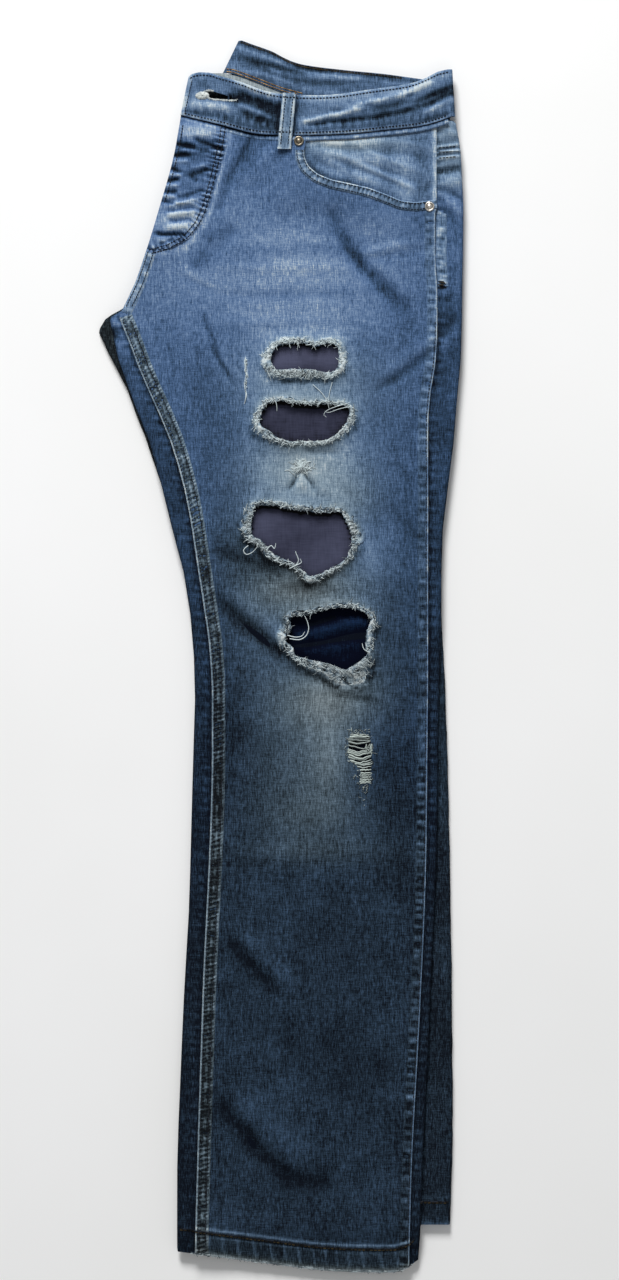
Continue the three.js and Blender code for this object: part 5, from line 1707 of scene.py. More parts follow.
@dataclass
class FrontBand:
    """The front waistband, with its buttonhole and the roll at the side."""

    cell: float = 1.5
    rows: int = 26
    columns: int = 156
    cloth: float = 2.4
    roll: float = 3.0
    low_ends: Point = (-87.0, 152.0)
    high_ends: Point = (-80.0, 149.5)
    hole: tuple[Point, ...] = (
        (-67, 489.2), (-62.5, 491.4), (-54, 489.6), (-45, 486.6), (-38, 484.2), (-44, 483.2), (-54, 483.8),
        (-62, 485.2),
    )
    eye: Point = (-68.0, 487.4)
    eye_size: Point = (5.8, 3.2)
    eye_stitches: int = 46
    grey: float = 0.12
    creases: tuple[Crease, ...] = pressed(
        (24, 462, 52, 464.5, 1.9, -1.2), (52, 465, 74, 467, 2.1, -1.4), (76, 467.5, 98, 471, 2.1, -1.4),
        (100, 471.5, 124, 478, 2.1, -1.4), (126, 479, 149, 489.5, 2.2, -1.3), (20, 464.5, 48, 470, 2.2, 1.5),
        (46, 469.5, 72, 476, 2.2, 1.4), (54, 476, 80, 482, 2.4, 1.3), (78, 481.5, 106, 487.5, 2.4, 1.3),
        (104, 487, 131, 498, 2.6, 1.3), (117, 481, 135, 489, 2.4, -1.3), (133, 488, 149, 495, 2.4, -1.2),
        (126, 473, 152, 485, 2.4, 1.2), (71, 481, 77, 483, 1.6, -0.9), (110, 486, 116, 488, 1.4, -0.9),
        (46, 474, 67, 478.5, 1.8, -0.8), (84, 476, 112, 482, 2.4, -0.7), (-38, 490, -2, 473, 4.2, -1.9),
        (-38, 499, -2, 486, 3.4, 1.1), (-32, 473, -4, 461, 3.0, -1.2), (-40, 481, -10, 468, 2.4, 1.0),
        (-75, 480, -40, 475, 3.4, 1.1), (-80, 474, -46, 468, 2.6, -0.8), (-46, 487, -34, 482, 3.0, -1.4),
        (-26, 464, -18, 472, 1.8, 0.8), (-16, 461, -8, 468, 1.8, 0.8), (118, 462, 146, 471, 2.0, -0.8),
    )
    fades: tuple[Fade, ...] = patches(
        (-76, 482, 16, 10, 0.16), (-60, 470, 26, 8, 0.1), (-30, 474, 18, 12, -0.12), (-8, 474, 12, 14, -0.12),
        (50, 482, 40, 7, 0.08), (100, 493, 34, 6, 0.12), (136, 499, 14, 6, 0.08), (84, 460, 40, 5, -0.08),
        (86, 476, 20, 4, -0.08), (50, 487, 30, 7, 0.06), (22, 462, 15, 5, 0.15), (-46, 476, 12, 9, 0.12),
        (74, 490, 12, 10, -0.06), (120, 473, 14, 6, -0.11), (102, 498, 14, 5, -0.07), (-74, 480, 10, 8, 0.06),
        (-20, 464, 9, 7, -0.1), (144, 488, 8, 9, -0.16), (24, 466, 14, 8, 0.1), (-14, 486, 16, 6, 0.12),
        (-40, 492, 22, 6, 0.03), (140, 474, 16, 6, 0.08),
    )

    def __post_init__(self) -> None:
        """Reads the band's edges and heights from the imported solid."""
        self.low, self.high = Outline("waistband_front").ends()
        self.top = Lattice.top_of("waistband_front", 4.0)
        self.floor = corners("waistband_front")[0][2]
        self.loop = Loop(self.hole, 0.8, 0.12, 61)
        self.cockle, self.fleck = Lattice.unevenness(63, 12.0, 9.0), Lattice.unevenness(65, 3.0, 3.0)

    def height(self, x: Array, y: Array) -> Array:
        """Returns the height of the band's outer face."""
        folds = relief(self.creases, x, y) * ease(149, 142, x)
        return self.top.at(np.minimum(x, 145), y) + folds + 0.2 * self.cockle.at(x, y)

    def wear_and_shade(self, x: Array, y: Array) -> Array:
        """Returns how pale the band is: its own fading, painted light and shade on its folds, and a painted shadow
        along the belt loop.
        """
        fleck, cockle = self.fleck.at(x, y), self.cockle.at(x, y)
        folds = relief(self.creases, x, y) * (1 + 0.4 * self.fleck.at(x * 0.8, y * 1.3))
        up, down, gap = self.high.at(x) - y, y - self.low.at(x), self.loop.distance(x, y)[0]
        fade = 0.40 + 0.06 * ease(20, 60, x) + 0.29 * np.clip(folds, -1.8, 1.4) + paleness(self.fades, x, y)
        fade = fade + 0.05 * self.cockle.at(x * 1.6, y * 1.6) + 0.04 * fleck
        fade = fade + stripes(up, (0, 1.4, 0.34 + 0.14 * fleck), (4.2, 2.4, 0.17 + 0.08 * fleck))
        fade = fade + stripes(down, (1.4, 1.5, 0.36 + 0.1 * fleck), (8, 5, 0.10 * np.sin(x / 1.1 + 3 * cockle)))
        fade = fade - 0.10 * swell(down - 4.5, 2.2) + 0.26 * swell(x + 85 - (y - 471) * 0.2, 1.8)
        fade = fade + 0.10 * swell(gap - 4, 3) - 0.2 * swell(x + 38, 8) * swell(y - 483, 5)
        # Painted shadow on the band along both sides of the belt loop.
        return np.clip(fade - 0.28 * swell(np.abs(x - LOOP_LINE.at(y)) - 7.4, 1.8), 0, 1.05)

    def build(self, made: Made) -> Draft:
        """Makes the band and its buttonhole's rim, and returns the band's mesh."""
        across = np.linspace(1, 0, self.rows)[:, None]
        flat = np.linspace(0, 1, self.columns)[None, :]
        low_x, high_x = (ends[0] + (ends[1] - self.roll - ends[0]) * flat for ends in (self.low_ends, self.high_ends))
        x = low_x * (1 - across) + high_x * across
        y = self.low.at(low_x) * (1 - across) + self.high.at(high_x) * across
        places = np.stack([x.ravel(), y.ravel()], axis=1)
        keep = cut_out(places, [self.loop], self.cell, 0.4)
        x, y = (places[:, k].reshape(x.shape) for k in (0, 1))
        edge = 0.55 * swell(self.high.at(x) - y, 1.1) + 0.45 * swell(y - self.low.at(x), 1.1)
        z, fade = self.height(x, y) - edge, self.wear_and_shade(x, y)
        bend = np.linspace(math.pi / 2, -math.pi / 2, 9)[None, 1:]
        side, top, ones = x[:, -1:], z[:, -1:], np.ones((self.rows, bend.size))
        radius = (top - self.floor - 0.2) / 2
        thin = np.maximum(radius - self.cloth * 0.9, 0.2)
        round_y = y[:, -1:] * ones
        outer, inner = (
            np.stack([side + reach * np.cos(bend), round_y, top - radius + rise * np.sin(bend)], axis=-1)
            for reach, rise in ((self.roll, radius), (self.roll - 1.2, thin))
        )
        # Painted shade where the band rolls under at the side.
        fades = np.hstack([fade, fade[:, -1:] - 0.22 * (1 - np.sin(bend)) / 2 * ones])
        front = np.concatenate([np.stack([x, y, z], axis=-1), outer], axis=1)
        back = np.concatenate([np.stack([x, y, z - self.cloth * 0.9], axis=-1), inner], axis=1).reshape(-1, 3)
        stays = np.hstack([keep.reshape(x.shape), ones > 0]).ravel()
        number = np.arange(stays.size).reshape(fades.shape)
        sheet = Draft.grid(front, fade=np.clip(fades, 0, 1.1), grey=self.grey, number=number).kept(stays)
        shell = sheet.shell(back[sheet.values.pop("number")])
        made.add("waistband_front", shell, Denim(), "denim_front", ["waistband_front"])
        self._rim(made)
        return shell

    def _rim(self, made: Made) -> None:
        """Makes the buttonhole's close stitches: a mound round its eye and a thin row along its lower edge."""
        rng = np.random.default_rng(67)
        paths = []
        for turn in np.linspace(0, 2 * math.pi, self.eye_stitches, endpoint=False):
            way = np.array([math.cos(turn), math.sin(turn)]) * self.eye_size
            spots = np.array([self.eye + way * far for far in (0.12, 0.6, rng.uniform(0.95, 1.1))])
            paths.append((spots, (1.0, 1.1, 0.1), 0.45))
        for p, n in zip(self.loop.points, self.loop.outward()):
            if n[1] < 0.2 or p[0] < -58:
                spots = np.array([p - n * 0.4, p + n * 0.3, p + n * rng.uniform(0.8, 1.3)])
                paths.append((spots, (-0.4, 0.4, 0.1), 0.34))
        stitches = [
            yarn(np.column_stack([spots, self.height(*spots.T) + lift]), radius, rng.uniform(0.35, 1.0), 4, 0.2)
            for spots, lift, radius in paths
        ]
        made.add("buttonhole_stitches", Draft.joined(stitches), Thread.CREAM.value, "loose_yarn")


@dataclass
class BackBand:
    """The back waistband, its inside face up."""

    cloth: float = 2.4
    rows: int = 26
    columns: int = 132
    wide: float = 30.0
    low_start: float = -50.0
    high_start: float = -36.5
    creases: tuple[Crease, ...] = pressed(
        (-32, 521, 20, 505, 3.0, -1.2), (-36, 527, 10, 513, 2.4, 0.9), (0, 508, 70, 500, 2.6, 1.0),
        (10, 513, 90, 504, 2.4, -1.1), (-44, 512, -18, 505, 2.4, 0.9), (20, 500, 100, 499, 2.2, -0.9),
        (-20, 508, 10, 498, 2.2, 0.9), (40, 509, 104, 506, 2.0, 0.8), (-12, 513, 0, 506, 2.0, 0.8),
    )
    shade: Fade = Fade(-4, 505, 26, 12, -0.17)

    def build(self, made: Made) -> Draft:
        """Makes the band and returns its mesh."""
        low, high = Outline("waistband_back").ends()
        far = corners("waistband_back")[1]
        across = np.linspace(1, 0, self.rows)[:, None]
        along = np.linspace(0, 1, self.columns)[None, :]
        low_x = self.low_start + (far[0] - self.low_start) * along
        high_x = self.high_start + (far[0] - 2.5 - self.high_start) * along
        x = low_x * (1 - across) + high_x * across
        y = low.at(np.maximum(low_x, -49)) * (1 - across) + high.at(np.maximum(high_x, -36)) * across
        cockle, fleck = Lattice.unevenness(71, 13.0, 10.0), Lattice.unevenness(73, 3.0, 3.0)
        folds = relief(self.creases, x, y) + 0.15 * cockle.at(x, y)
        up, down = (1 - across) * self.wide, across * self.wide
        fall = ease(7, 0, x - x[:, :1])
        z = far[2] - 0.35 + folds * 0.55 - 0.7 * swell(up, 1.2) - 0.9 * fall
        # Painted light and shade on the folds: paler ridges, darker troughs.
        fade = 0.40 + 0.20 * np.clip(folds, -1.2, 1.2) + 0.05 * fleck.at(x, y) + 0.06 * swell(x - 60, 40)
        fade = fade + stripes(up, (6.0, 1.4, 0.20), (2.2, 1.4, -0.14)) + 0.12 * swell(down - 9, 3)
        # Painted shade where the band's end falls away, and the painted shade patch.
        fade = fade - 0.05 * fall + paleness([self.shade], x, y)
        shell = Draft.laid(x, y, z, np.clip(fade, 0, 1), 0.12).thick(self.cloth * 0.85)
        made.add("waistband_back", shell, Denim(), "denim_inside", ["waistband_back"])
        return shell


@dataclass
class BeltLoop:
    """A belt loop: a folded strip with raised edges, sewn down at both ends."""

    cloth: float = 1.5
    width: float = 12.0
    rows: int = 50
    columns: int = 17

    def build(self, made: Made) -> Draft:
        """Makes the loop and returns its mesh."""
        low, high = corners("belt_loop")
        top = Lattice.top_of("belt_loop", 3.0, 1)
        down, across = np.linspace(0, 1, self.rows)[:, None], np.linspace(-0.5, 0.5, self.columns)[None, :]
        x = (high[0] - self.width / 2) * (1 - down) + (low[0] + self.width / 2) * down + across * self.width
        y = np.broadcast_to(high[1] + (low[1] - high[1]) * down, x.shape)
        fleck = Lattice.unevenness(81, 2.6, 3.4).at(x, y)
        inset = (0.5 - np.abs(across)) * self.width
        edge = swell(inset - 1.4, 1.0)
        z = top.at(x, y) + 0.3 + 0.5 * edge + 0.12 * fleck - 0.5 * swell(inset, 0.6)
        fade = 0.66 + 0.34 * edge + 0.13 * fleck - 0.14 * swell(across * self.width, 1.8) + 0.2 * swell(down - 1, 0.03)
        shell = Draft.laid(x, y, z, np.clip(fade, 0, 1), 0.25).thick(self.cloth)
        made.add("belt_loop", shell, Denim(), "denim_front", ["belt_loop"])
        return shell


@dataclass
class Rivet:
    """A pocket rivet: a rolled rim, a dished ring and a worn nub."""

    node: str
    finish: Metal
    slot: str
    sides: int = 40

    PROFILE = (  # share of the radius, share of the height, how bright
        (1.0, 0.0, 0.2), (1.0, 0.25, 0.3), (0.96, 0.45, 0.7), (0.88, 0.58, 0.9), (0.78, 0.60, 0.7), (0.70, 0.52, 0.3),
        (0.60, 0.46, 0.15), (0.50, 0.48, 0.2), (0.42, 0.62, 0.5), (0.34, 0.84, 0.8), (0.24, 0.96, 1), (0.12, 1.0, 1),
        (0.02, 1.0, 1),
    )

    def build(self, made: Made) -> None:
        """Makes the rivet where its solid is."""
        low, high = corners(self.node)
        middle = (low + high) / 2
        share, rise, bright = (np.array(column)[:, None] for column in zip(*self.PROFILE))
        turn = np.linspace(0, 2 * math.pi, self.sides, endpoint=False)
        r, z = share * ((high[0] - low[0]) / 2), low[2] + rise * (high[2] - low[2])
        dent = 1 + 0.025 * np.sin(3 * turn + 1)[None, :] + 0.015 * np.sin(7 * turn)[None, :]
        x, y = middle[0] + r * np.cos(turn) * dent, middle[1] + r * np.sin(turn) * dent
        body = Draft.grid(np.stack([x, y, np.broadcast_to(z, x.shape)], axis=-1), around=True, fade=bright)
        last = (len(share) - 1) * self.sides
        caps = [[start, start + order[0] + k, start + order[1] + k, -1]
                for start, order in ((0, (2, 1)), (last, (1, 2))) for k in range(self.sides - 2)]
        draft = Draft(body.points, np.vstack([body.faces[:, ::-1], np.array(caps)]), body.values)
        made.add(self.node, draft, self.finish, self.slot, [self.node], 60.0)


@dataclass
class RipBacking:
    """The smooth cloth behind the three upper rips."""

    cloth: float = 0.75
    columns: int = 84
    rows: int = 160

    COTTON = Cotton("rip_backing_cotton", linear(43, 45, 63), linear(74, 77, 100))

    def build(self, made: Made, front: Front) -> Draft:
        """Makes the backing under the front and returns its mesh."""
        low, high = corners("rip_backing")
        x, y = np.meshgrid(np.linspace(low[0], high[0], self.columns), np.linspace(high[1], low[1], self.rows))
        soft, fine = Lattice.unevenness(91, 24.0, 30.0).at(x, y), Lattice.unevenness(93, 12.0, 6.0).at(x, y)
        z = high[2] + 0.28 * soft + 0.10 * fine
        # Painted shadow under the rips' lips darkens the backing near their edges.
        fade = 0.4 + 0.10 * soft + stripes(y, (259, 18, 0.28), (204, 18, -0.2)) - 1.4 * front.shade(x, y)
        shell = Draft.laid(x, y, z, fade).thick(self.cloth)
        made.add("rip_backing", shell, self.COTTON, "lining", ["rip_backing"])
        return shell


def laid_yarns(strands: Sequence[Strand], height: Height) -> Draft:
    """Returns yarns laid on a surface, as one mesh.

    Args:
        strands: for each yarn its path, with Z as its lift above the surface, its half thickness and its paleness.
        height: the surface.

    Returns:
        The yarns.
    """
    every = np.vstack([path for path, _, _ in strands])
    ground = height(every[:, 0], every[:, 1])
    drafts, start = [], 0
    for path, radius, fade in strands:
        lifted = path.copy()
        lifted[:, 2] += ground[start:start + len(path)]
        start += len(path)
        drafts.append(yarn(lifted, radius, fade))
    return Draft.joined(drafts)


@dataclass
class Fray:
    """The torn edge of a rip: a thick ragged rim of broken weave, and loose yarns that spring from it."""

    rip: Rip
    front: Front
    columns: int = 15
    spacing: float = 0.8
    strands: float = 2.6

    def build(self, made: Made) -> None:
        """Makes the rim and its yarns."""
        node, front = self.rip.node, self.front
        loop = Loop(self.rip.edge, self.spacing, 0.35, self.rip.seed)
        rng = np.random.default_rng(self.rip.seed + 500)
        made.add(node + "_rim", self._rim(loop), Denim(), "loose_yarn", [node])
        strands = [self._strand(loop, rng) for _ in range(int(len(loop.points) * self.strands))]
        strands += self._strings(loop, rng)
        strands += [(self._smooth(np.array(path)), self.rip.thread, 0.95) for path in self.rip.loose]
        made.add(node + "_yarns", laid_yarns(strands, front.height), LOOSE_YARN, "loose_yarn")

    def _rim(self, loop: Loop) -> Draft:
        """Returns the ragged rim: a flat frayed band along the top, popped lumps at the sides, a rolled lip below."""
        line, out = loop.points, loop.outward()
        sizes = ((5, 9.0), (7, 3.4), (9, 1.5), (15, 2.0))
        wide, lump, fleck, thread = (Lattice.unevenness(self.rip.seed + n, size, size) for n, size in sizes)
        upper, lower = ease(0.25, 0.9, out[:, 1])[:, None], ease(-0.1, -0.8, out[:, 1])[:, None]
        side = 1 - upper - lower
        width = self.rip.rim_width(*line.T) * (0.95 + 0.4 * wide.at(*line.T) + 0.25 * lump.at(*line.T))
        width = np.maximum(width, 1.8)[:, None] + 2.6 * upper
        across = np.linspace(0, 1, self.columns)[None, :]
        off = -0.5 + (width + 0.5) * across
        x, y = line[:, :1] + out[:, :1] * off, line[:, 1:] + out[:, 1:] * off
        under, flecks = self.front.height(x, y), fleck.at(x, y)
        crown = np.clip(np.minimum(across + 0.06, 1 - across) * width / 2.0, 0, 1) ** 0.8
        bulk = 0.45 * upper + 1.15 * side + 1.5 * lower * np.exp(-2.0 * across)
        z = under + crown * (bulk * (0.9 + 0.9 * lump.at(x, y)) + (0.35 + 0.5 * side) * flecks)
        z[:, 0], z[:, -1] = under[:, 0] - 1.0, under[:, -1] - 0.15
        along = self.spacing * np.arange(len(line))[:, None]
        combed, spread = thread.at(along * 0.7 - 200, off * 2.6), thread.at(along * 2.2 - 200, off * 0.6)
        # Each rip's rim paleness: partly its own colour, partly painted light and shade.
        top_tint, side_tint, lip_tint, far_tint = self.rip.wear_and_shade
        fade = (0.60 + 0.42 * combed + top_tint) * upper + (0.84 + 0.5 * spread + 0.3 * flecks + side_tint) * side
        fade = fade + (0.72 + 0.4 * combed + 0.34 * flecks + lip_tint * (1 - across) + far_tint * across) * lower
        holes = np.clip(lump.at(x * 1.4 + 9, y * 1.4) - 0.35, 0, 0.8) * ease(0.0, 0.25, across)
        fade = fade + 0.36 * lump.at(x * 1.1, y * 1.1) + 0.10 - 0.95 * holes
        pale, grey = self.front.wear_and_shade(x, y)
        blend = ease(0.55, 1.0, across)
        # Painted shadow: a dark line along the torn edge under the upper lip, weaker along the sides.
        fade = fade * (1 - blend) + pale * blend - 0.9 * swell(across, 0.13) * (upper + 0.4 * side)
        grey = (0.42 * upper + 0.62 * side + 0.7 * lower) * (1 - blend) + grey * blend
        points = np.stack([x, y, z], axis=-1).transpose(1, 0, 2)
        sheet = Draft.grid(points, around=True, fade=np.clip(fade, -0.2, 1.1).T, grey=grey.T)
        return sheet.shell(np.stack([x, y, under - 1.1], axis=-1).transpose(1, 0, 2).reshape(-1, 3))

    def _strand(self, loop: Loop, rng: np.random.Generator) -> Strand:
        """Returns one short yarn that curls on the rim: its path, half thickness and paleness."""
        i = int(rng.integers(len(loop.points)))
        out = loop.outward()[i]
        run = np.array([-out[1], out[0]])
        way = out * rng.normal(0.1, 0.32) + run * rng.choice([-1.0, 1.0]) * rng.uniform(0.4, 1.0)
        way = way / max(np.hypot(*way), 1e-3)
        length = rng.gamma(2.5, 0.7) + 0.7
        start = loop.points[i] + out * (0.3 + rng.uniform(0.0, 0.9) * float(self.rip.rim_width(*loop.points[i])))
        t = np.linspace(0, 1, 9)
        curl = np.sin(t * rng.uniform(2, 7) + rng.uniform(0, 6)) * rng.uniform(0.1, 0.7)
        curl = curl + t**2 * rng.normal(0, 0.5) * length
        spots = start + way * (t * length)[:, None] + np.array([-way[1], way[0]]) * curl[:, None]
        lift = rng.uniform(0.1, 1.1) * np.sin(math.pi * (0.1 + 0.85 * t)) + 0.6
        return np.column_stack([spots, lift]), rng.uniform(0.14, 0.4), rng.uniform(0.1, 1.3) + 1.4 * self.rip.wear_and_shade[1]

    def _strings(self, loop: Loop, rng: np.random.Generator) -> list[Strand]:
        """Returns long yarns that lie side by side across the wide flaps."""
        strings = []
        out = loop.outward()
        t = np.linspace(0, 1, 7)[:, None]
        for x, y, extra, reach in self.rip.flaps:
            near = np.flatnonzero(np.hypot(*(loop.points - (x, y)).T) < reach)
            for i in near if extra > 5 else near[:0]:
                length = (self.rip.rim + extra) * rng.uniform(0.35, 0.75)
                way = np.array(self.rip.comb or out[i]) + rng.normal(0, 0.18, 2)
                wave = np.array([-out[i][1], out[i][0]]) * rng.normal(0, 0.9) * np.sin(math.pi * 1.5 * t)
                spots = loop.points[i] + way * t * length + wave
                lift = 1.0 + 0.9 * np.sin(math.pi * t[:, 0]) * rng.uniform(0.3, 1)
                strings.append((np.column_stack([spots, lift]), rng.uniform(0.16, 0.34), rng.uniform(0.1, 0.9)))
        return strings

    @staticmethod
    def _smooth(path: Array) -> Array:
        """Returns a path with finer, softer bends."""
        fine = np.linspace(0, len(path) - 1, 3 * len(path))
        smooth = np.stack([np.interp(fine, np.arange(len(path)), path[:, k]) for k in range(3)], axis=1)
        for _ in range(2):
            smooth[1:-1] = smooth[1:-1] * 0.5 + (smooth[:-2] + smooth[2:]) * 0.25
        return smooth


@dataclass
class LadderWindow:
    """The small worn window whose crosswise yarns still bridge it: wide at its top, narrow at its right below."""

    top: float = -68.5
    bottom: float = -111.0
    tuck: float = 1.0
    pitch: float = 0.034
    gaps: tuple[float, ...] = (0.17, 0.26, 0.38, 0.5, 0.61, 0.70, 0.76)
    hanging: int = 7
    hang_x: float = 79.4
    hang_spread: float = 5.0
    hang_from: float = 8.0
    hang_length: float = 9.0
    broken: int = 130
    scuff_x: float = 73.0
    scuff_length: float = 22.0
    points: int = 9

    LEFT = Line.through(
        (0.0, 61.2), (0.08, 59.6), (0.2, 58.2), (0.42, 58.8), (0.53, 61.0), (0.62, 66.0), (0.72, 68.8), (1.0, 69.8),
    )
    RIGHT = Line.through((0.0, 76.8), (0.1, 78.6), (0.2, 79.4), (0.9, 79.4), (1.0, 78.2))
    ABOVE, BESIDE_LEFT, BESIDE_RIGHT = 40, 85, 100

    def level(self, t: Array) -> Array:
        """Returns the Y of a share of the way down."""
        return self.top + (self.bottom - self.top) * t

    def edge(self) -> list[Point]:
        """Returns the window's edge, under the ends of its yarns."""
        t = np.linspace(0.02, 0.98, 9)
        left, right, y = self.LEFT.at(t) + self.tuck, self.RIGHT.at(t) - self.tuck, self.level(t)
        return [*zip(left, y), *zip(right[::-1], y[::-1])]

    def build(self, made: Made, front: Front) -> None:
        """Makes the bridging yarns and the broken ends round them.

        Args:
            made: where the piece goes.
            front: the panel that they bridge.
        """
        rng, s = np.random.default_rng(101), np.linspace(0, 1, self.points)
        strands = self._bridges(rng, s)
        for _ in range(self.hanging):
            x = self.hang_x - rng.uniform(0, self.hang_spread)
            across, down = x + rng.normal(0, 0.5, self.points), self.top - self.hang_from - self.hang_length * s
            spots = np.column_stack([across, down, 0.9 + 0.3 * np.sin(math.pi * s)])
            strands.append((spots, rng.uniform(0.2, 0.4), rng.uniform(0.6, 0.9)))
        for number in range(self.broken):
            x, y = self._broken_end(number, rng)
            way = rng.normal(0, 1, 2) * 1.3
            spots = np.column_stack([x + way[0] * s, y + way[1] * s, 0.3 + 0.5 * np.sin(math.pi * s)])
            strands.append((spots, rng.uniform(0.12, 0.3), rng.uniform(0.0, 0.75)))
        made.add("ladder_threads", laid_yarns(strands, front.height), BRIDGING_YARN, "loose_yarn", ["ladder_threads"])

    def _bridges(self, rng: np.random.Generator, s: Array) -> list[Strand]:
        """Returns the yarns that still bridge the window, slack in its upper part."""
        strands = []
        for t in np.arange(0.01, 1.0, self.pitch):
            if any(abs(t - gap) < self.pitch * 0.5 for gap in self.gaps):
                continue
            start, stop = (float(side.at(t)) + rng.uniform(-0.9, 0.7) for side in (self.LEFT, self.RIGHT))
            slack = float(ease(0.8, 0.4, t) * ease(0.06, 0.22, t))
            low = rng.uniform(0.4, 0.62)
            sag = -4.0 * slack * np.minimum(s / low, (1 - s) / (1 - low)) + 0.5 * np.sin(math.pi * s)
            sag = sag + rng.normal(0, 0.25, self.points)
            lift = 0.2 + 0.4 * np.sin(math.pi * s) * rng.uniform(-1, 1.2)
            spots = np.column_stack([start + (stop - start) * s, self.level(t) + sag, lift])
            strands.append((spots, rng.uniform(0.5, 0.85), rng.uniform(0.3, 0.85)))
        return strands

    def _broken_end(self, number: int, rng: np.random.Generator) -> Point:
        """Returns where a broken yarn starts: above the window, beside it, or in the scuff below it."""
        t = rng.uniform(0, 1)
        if number < self.ABOVE:
            return rng.uniform(60, 78), self.top + rng.uniform(0.2, 4.6)
        if number < self.BESIDE_LEFT:
            return float(self.LEFT.at(t)) - rng.uniform(-0.8, 2.4 + 4 * float(ease(0.5, 0.7, t))), self.level(t)
        if number < self.BESIDE_RIGHT:
            return float(self.RIGHT.at(t)) + rng.uniform(-0.8, 1.6), self.level(t)
        x = self.scuff_x + rng.normal(0, 1.8)
        return x, self.bottom - rng.uniform(0, self.scuff_length) * rng.uniform(0.2, 1)


@dataclass
class Sewing:
    """Rows of stitches, gathered by thread and made as one piece for each."""

    ground: Ground
    rows: dict[Thread, list[Draft]] = field(default_factory=dict)
    seed: int = 7

    PROFILE = np.array([-0.5, -0.3, 0.0, 0.3, 0.5])
    SINK = np.array([-0.55, 0.05, 0.25, 0.05, -0.55])
    CLEAR = 0.1
    STEP = 0.4

    def __post_init__(self) -> None:
        """Starts the random unevenness of the stitches."""
        self.rng = np.random.default_rng(self.seed)

    def row(self, path: Array | Sequence[Point], thread: Thread, pitch: float, length: float,
            radius: float = 0.42) -> None:
        """Sews a row of stitches along a line.

        Args:
            path: (x, y) bends of the line.
            thread: the thread.
            pitch: distance from stitch to stitch.
            length: how much of each stitch shows.
            radius: half the thread's thickness.
        """
        line = spaced(path, self.STEP)
        along = run_length(line)
        for place in np.arange(pitch / 2, along[-1] - pitch / 2, pitch):
            spots = place + self.PROFILE * length * self.rng.uniform(0.9, 1.08)
            x, y = np.interp(spots, along, line[:, 0]), np.interp(spots, along, line[:, 1])
            z = self.ground.at(x[1:4], y[1:4])
            if z.min() <= 0:
                continue
            z = np.interp(self.PROFILE, self.PROFILE[1:4], z) + self.SINK * radius + self.CLEAR
            thick, fade = radius * self.rng.uniform(0.88, 1.12), self.rng.uniform(0, 1)
            self.rows.setdefault(thread, []).append(yarn(np.column_stack([x, y, z]), thick, fade, 5, 0.0))

    def build(self, made: Made) -> None:
        """Makes the sewn pieces."""
        for thread, drafts in self.rows.items():
            made.add(f"sewing_{thread.name.lower()}", Draft.joined(drafts), thread.value, "denim_front")


# The stage

@dataclass
class Studio:
    """A pale floor, soft light from beyond the waist, and a camera straight above."""

    view_low: Point = (-244.0, -542.9)
    view_high: Point = (294.5, 570.7)
    distance: float = 3.4
    aim_height: float = 0.010
    sensor: float = 36.0
    floor_half: float = 4.0
    floor_z: float = -0.0004
    surround: float = 0.27
    far: float = 50.0

    SKY = (0.97, 0.985, 1.0, 1.0)
    LAMP_AIM = (0.0, 0.05, 0.0)
    LAMPS = (("window_light", (-0.8, 4.0, 2.6), 1.5, 280.0), ("foot_light", (0.3, -1.6, 2.2), 1.6, 6.0))

    def build(self) -> None:
        """Makes the floor, the lights and the camera."""
        self._floor()
        self._lights()
        self._camera()
        bpy.context.scene.view_settings.view_transform = "Standard"
        log.info("studio: floor, lights and camera")

    @staticmethod
    def _place(name: str, data: bpy.types.ID) -> Piece:
        """Returns a new object in the scene."""
        placed = bpy.data.objects.new(name, data)
        bpy.context.scene.collection.objects.link(placed)
        return placed

    def _floor(self) -> None:
        """Makes the floor just under the part."""
        mesh = bpy.data.meshes.new("floor")
        half = self.floor_half
        ends = [(a * half, b * half, self.floor_z) for a, b in ((-1, -1), (1, -1), (1, 1), (-1, 1))]
        mesh.from_pydata(ends, [], [(0, 1, 2, 3)])
        graph = Graph("pale_floor")
        tone = graph.ramp(graph.threads(3.0, 3.0, 3.0), ((0.3, linear(243, 243, 242)), (0.7, linear(248, 248, 248))))
        graph.feed(graph.surface, {"Base Color": tone, "Roughness": 0.8, "Specular IOR Level": 0.1})
        mesh.materials.append(graph.material)
        self._place("floor", mesh)

    def _lights(self) -> None:
        """Makes a large soft light beyond the waist, a weak one from the foot, and an even surround."""
        for name, place, size, power in self.LAMPS:
            light = bpy.data.lights.new(name, "AREA")
            light.size, light.energy = size, power
            lamp = self._place(name, light)
            lamp.location = place
            lamp.rotation_mode = "QUATERNION"
            lamp.rotation_quaternion = (Vector(self.LAMP_AIM) - Vector(place)).to_track_quat("-Z", "Y")
        world = bpy.data.worlds.new("surround")
        world.use_nodes = True
        background = world.node_tree.nodes["Background"]
        background.inputs["Color"].default_value = self.SKY
        background.inputs["Strength"].default_value = self.surround
        bpy.context.scene.world = world

    def _camera(self) -> None:
        """Makes the camera, looking straight down on the part."""
        tall = (self.view_high[1] - self.view_low[1]) * MM
        camera = bpy.data.cameras.new("camera")
        camera.sensor_fit, camera.sensor_width = "AUTO", self.sensor
        camera.lens = self.sensor * self.distance / tall
        camera.clip_end = self.far
        holder = self._place("camera", camera)
        middle = [(a + b) / 2 * MM for a, b in zip(self.view_low, self.view_high)]
        holder.location = (*middle, self.aim_height + self.distance)
        bpy.context.scene.camera = holder


# Putting it together

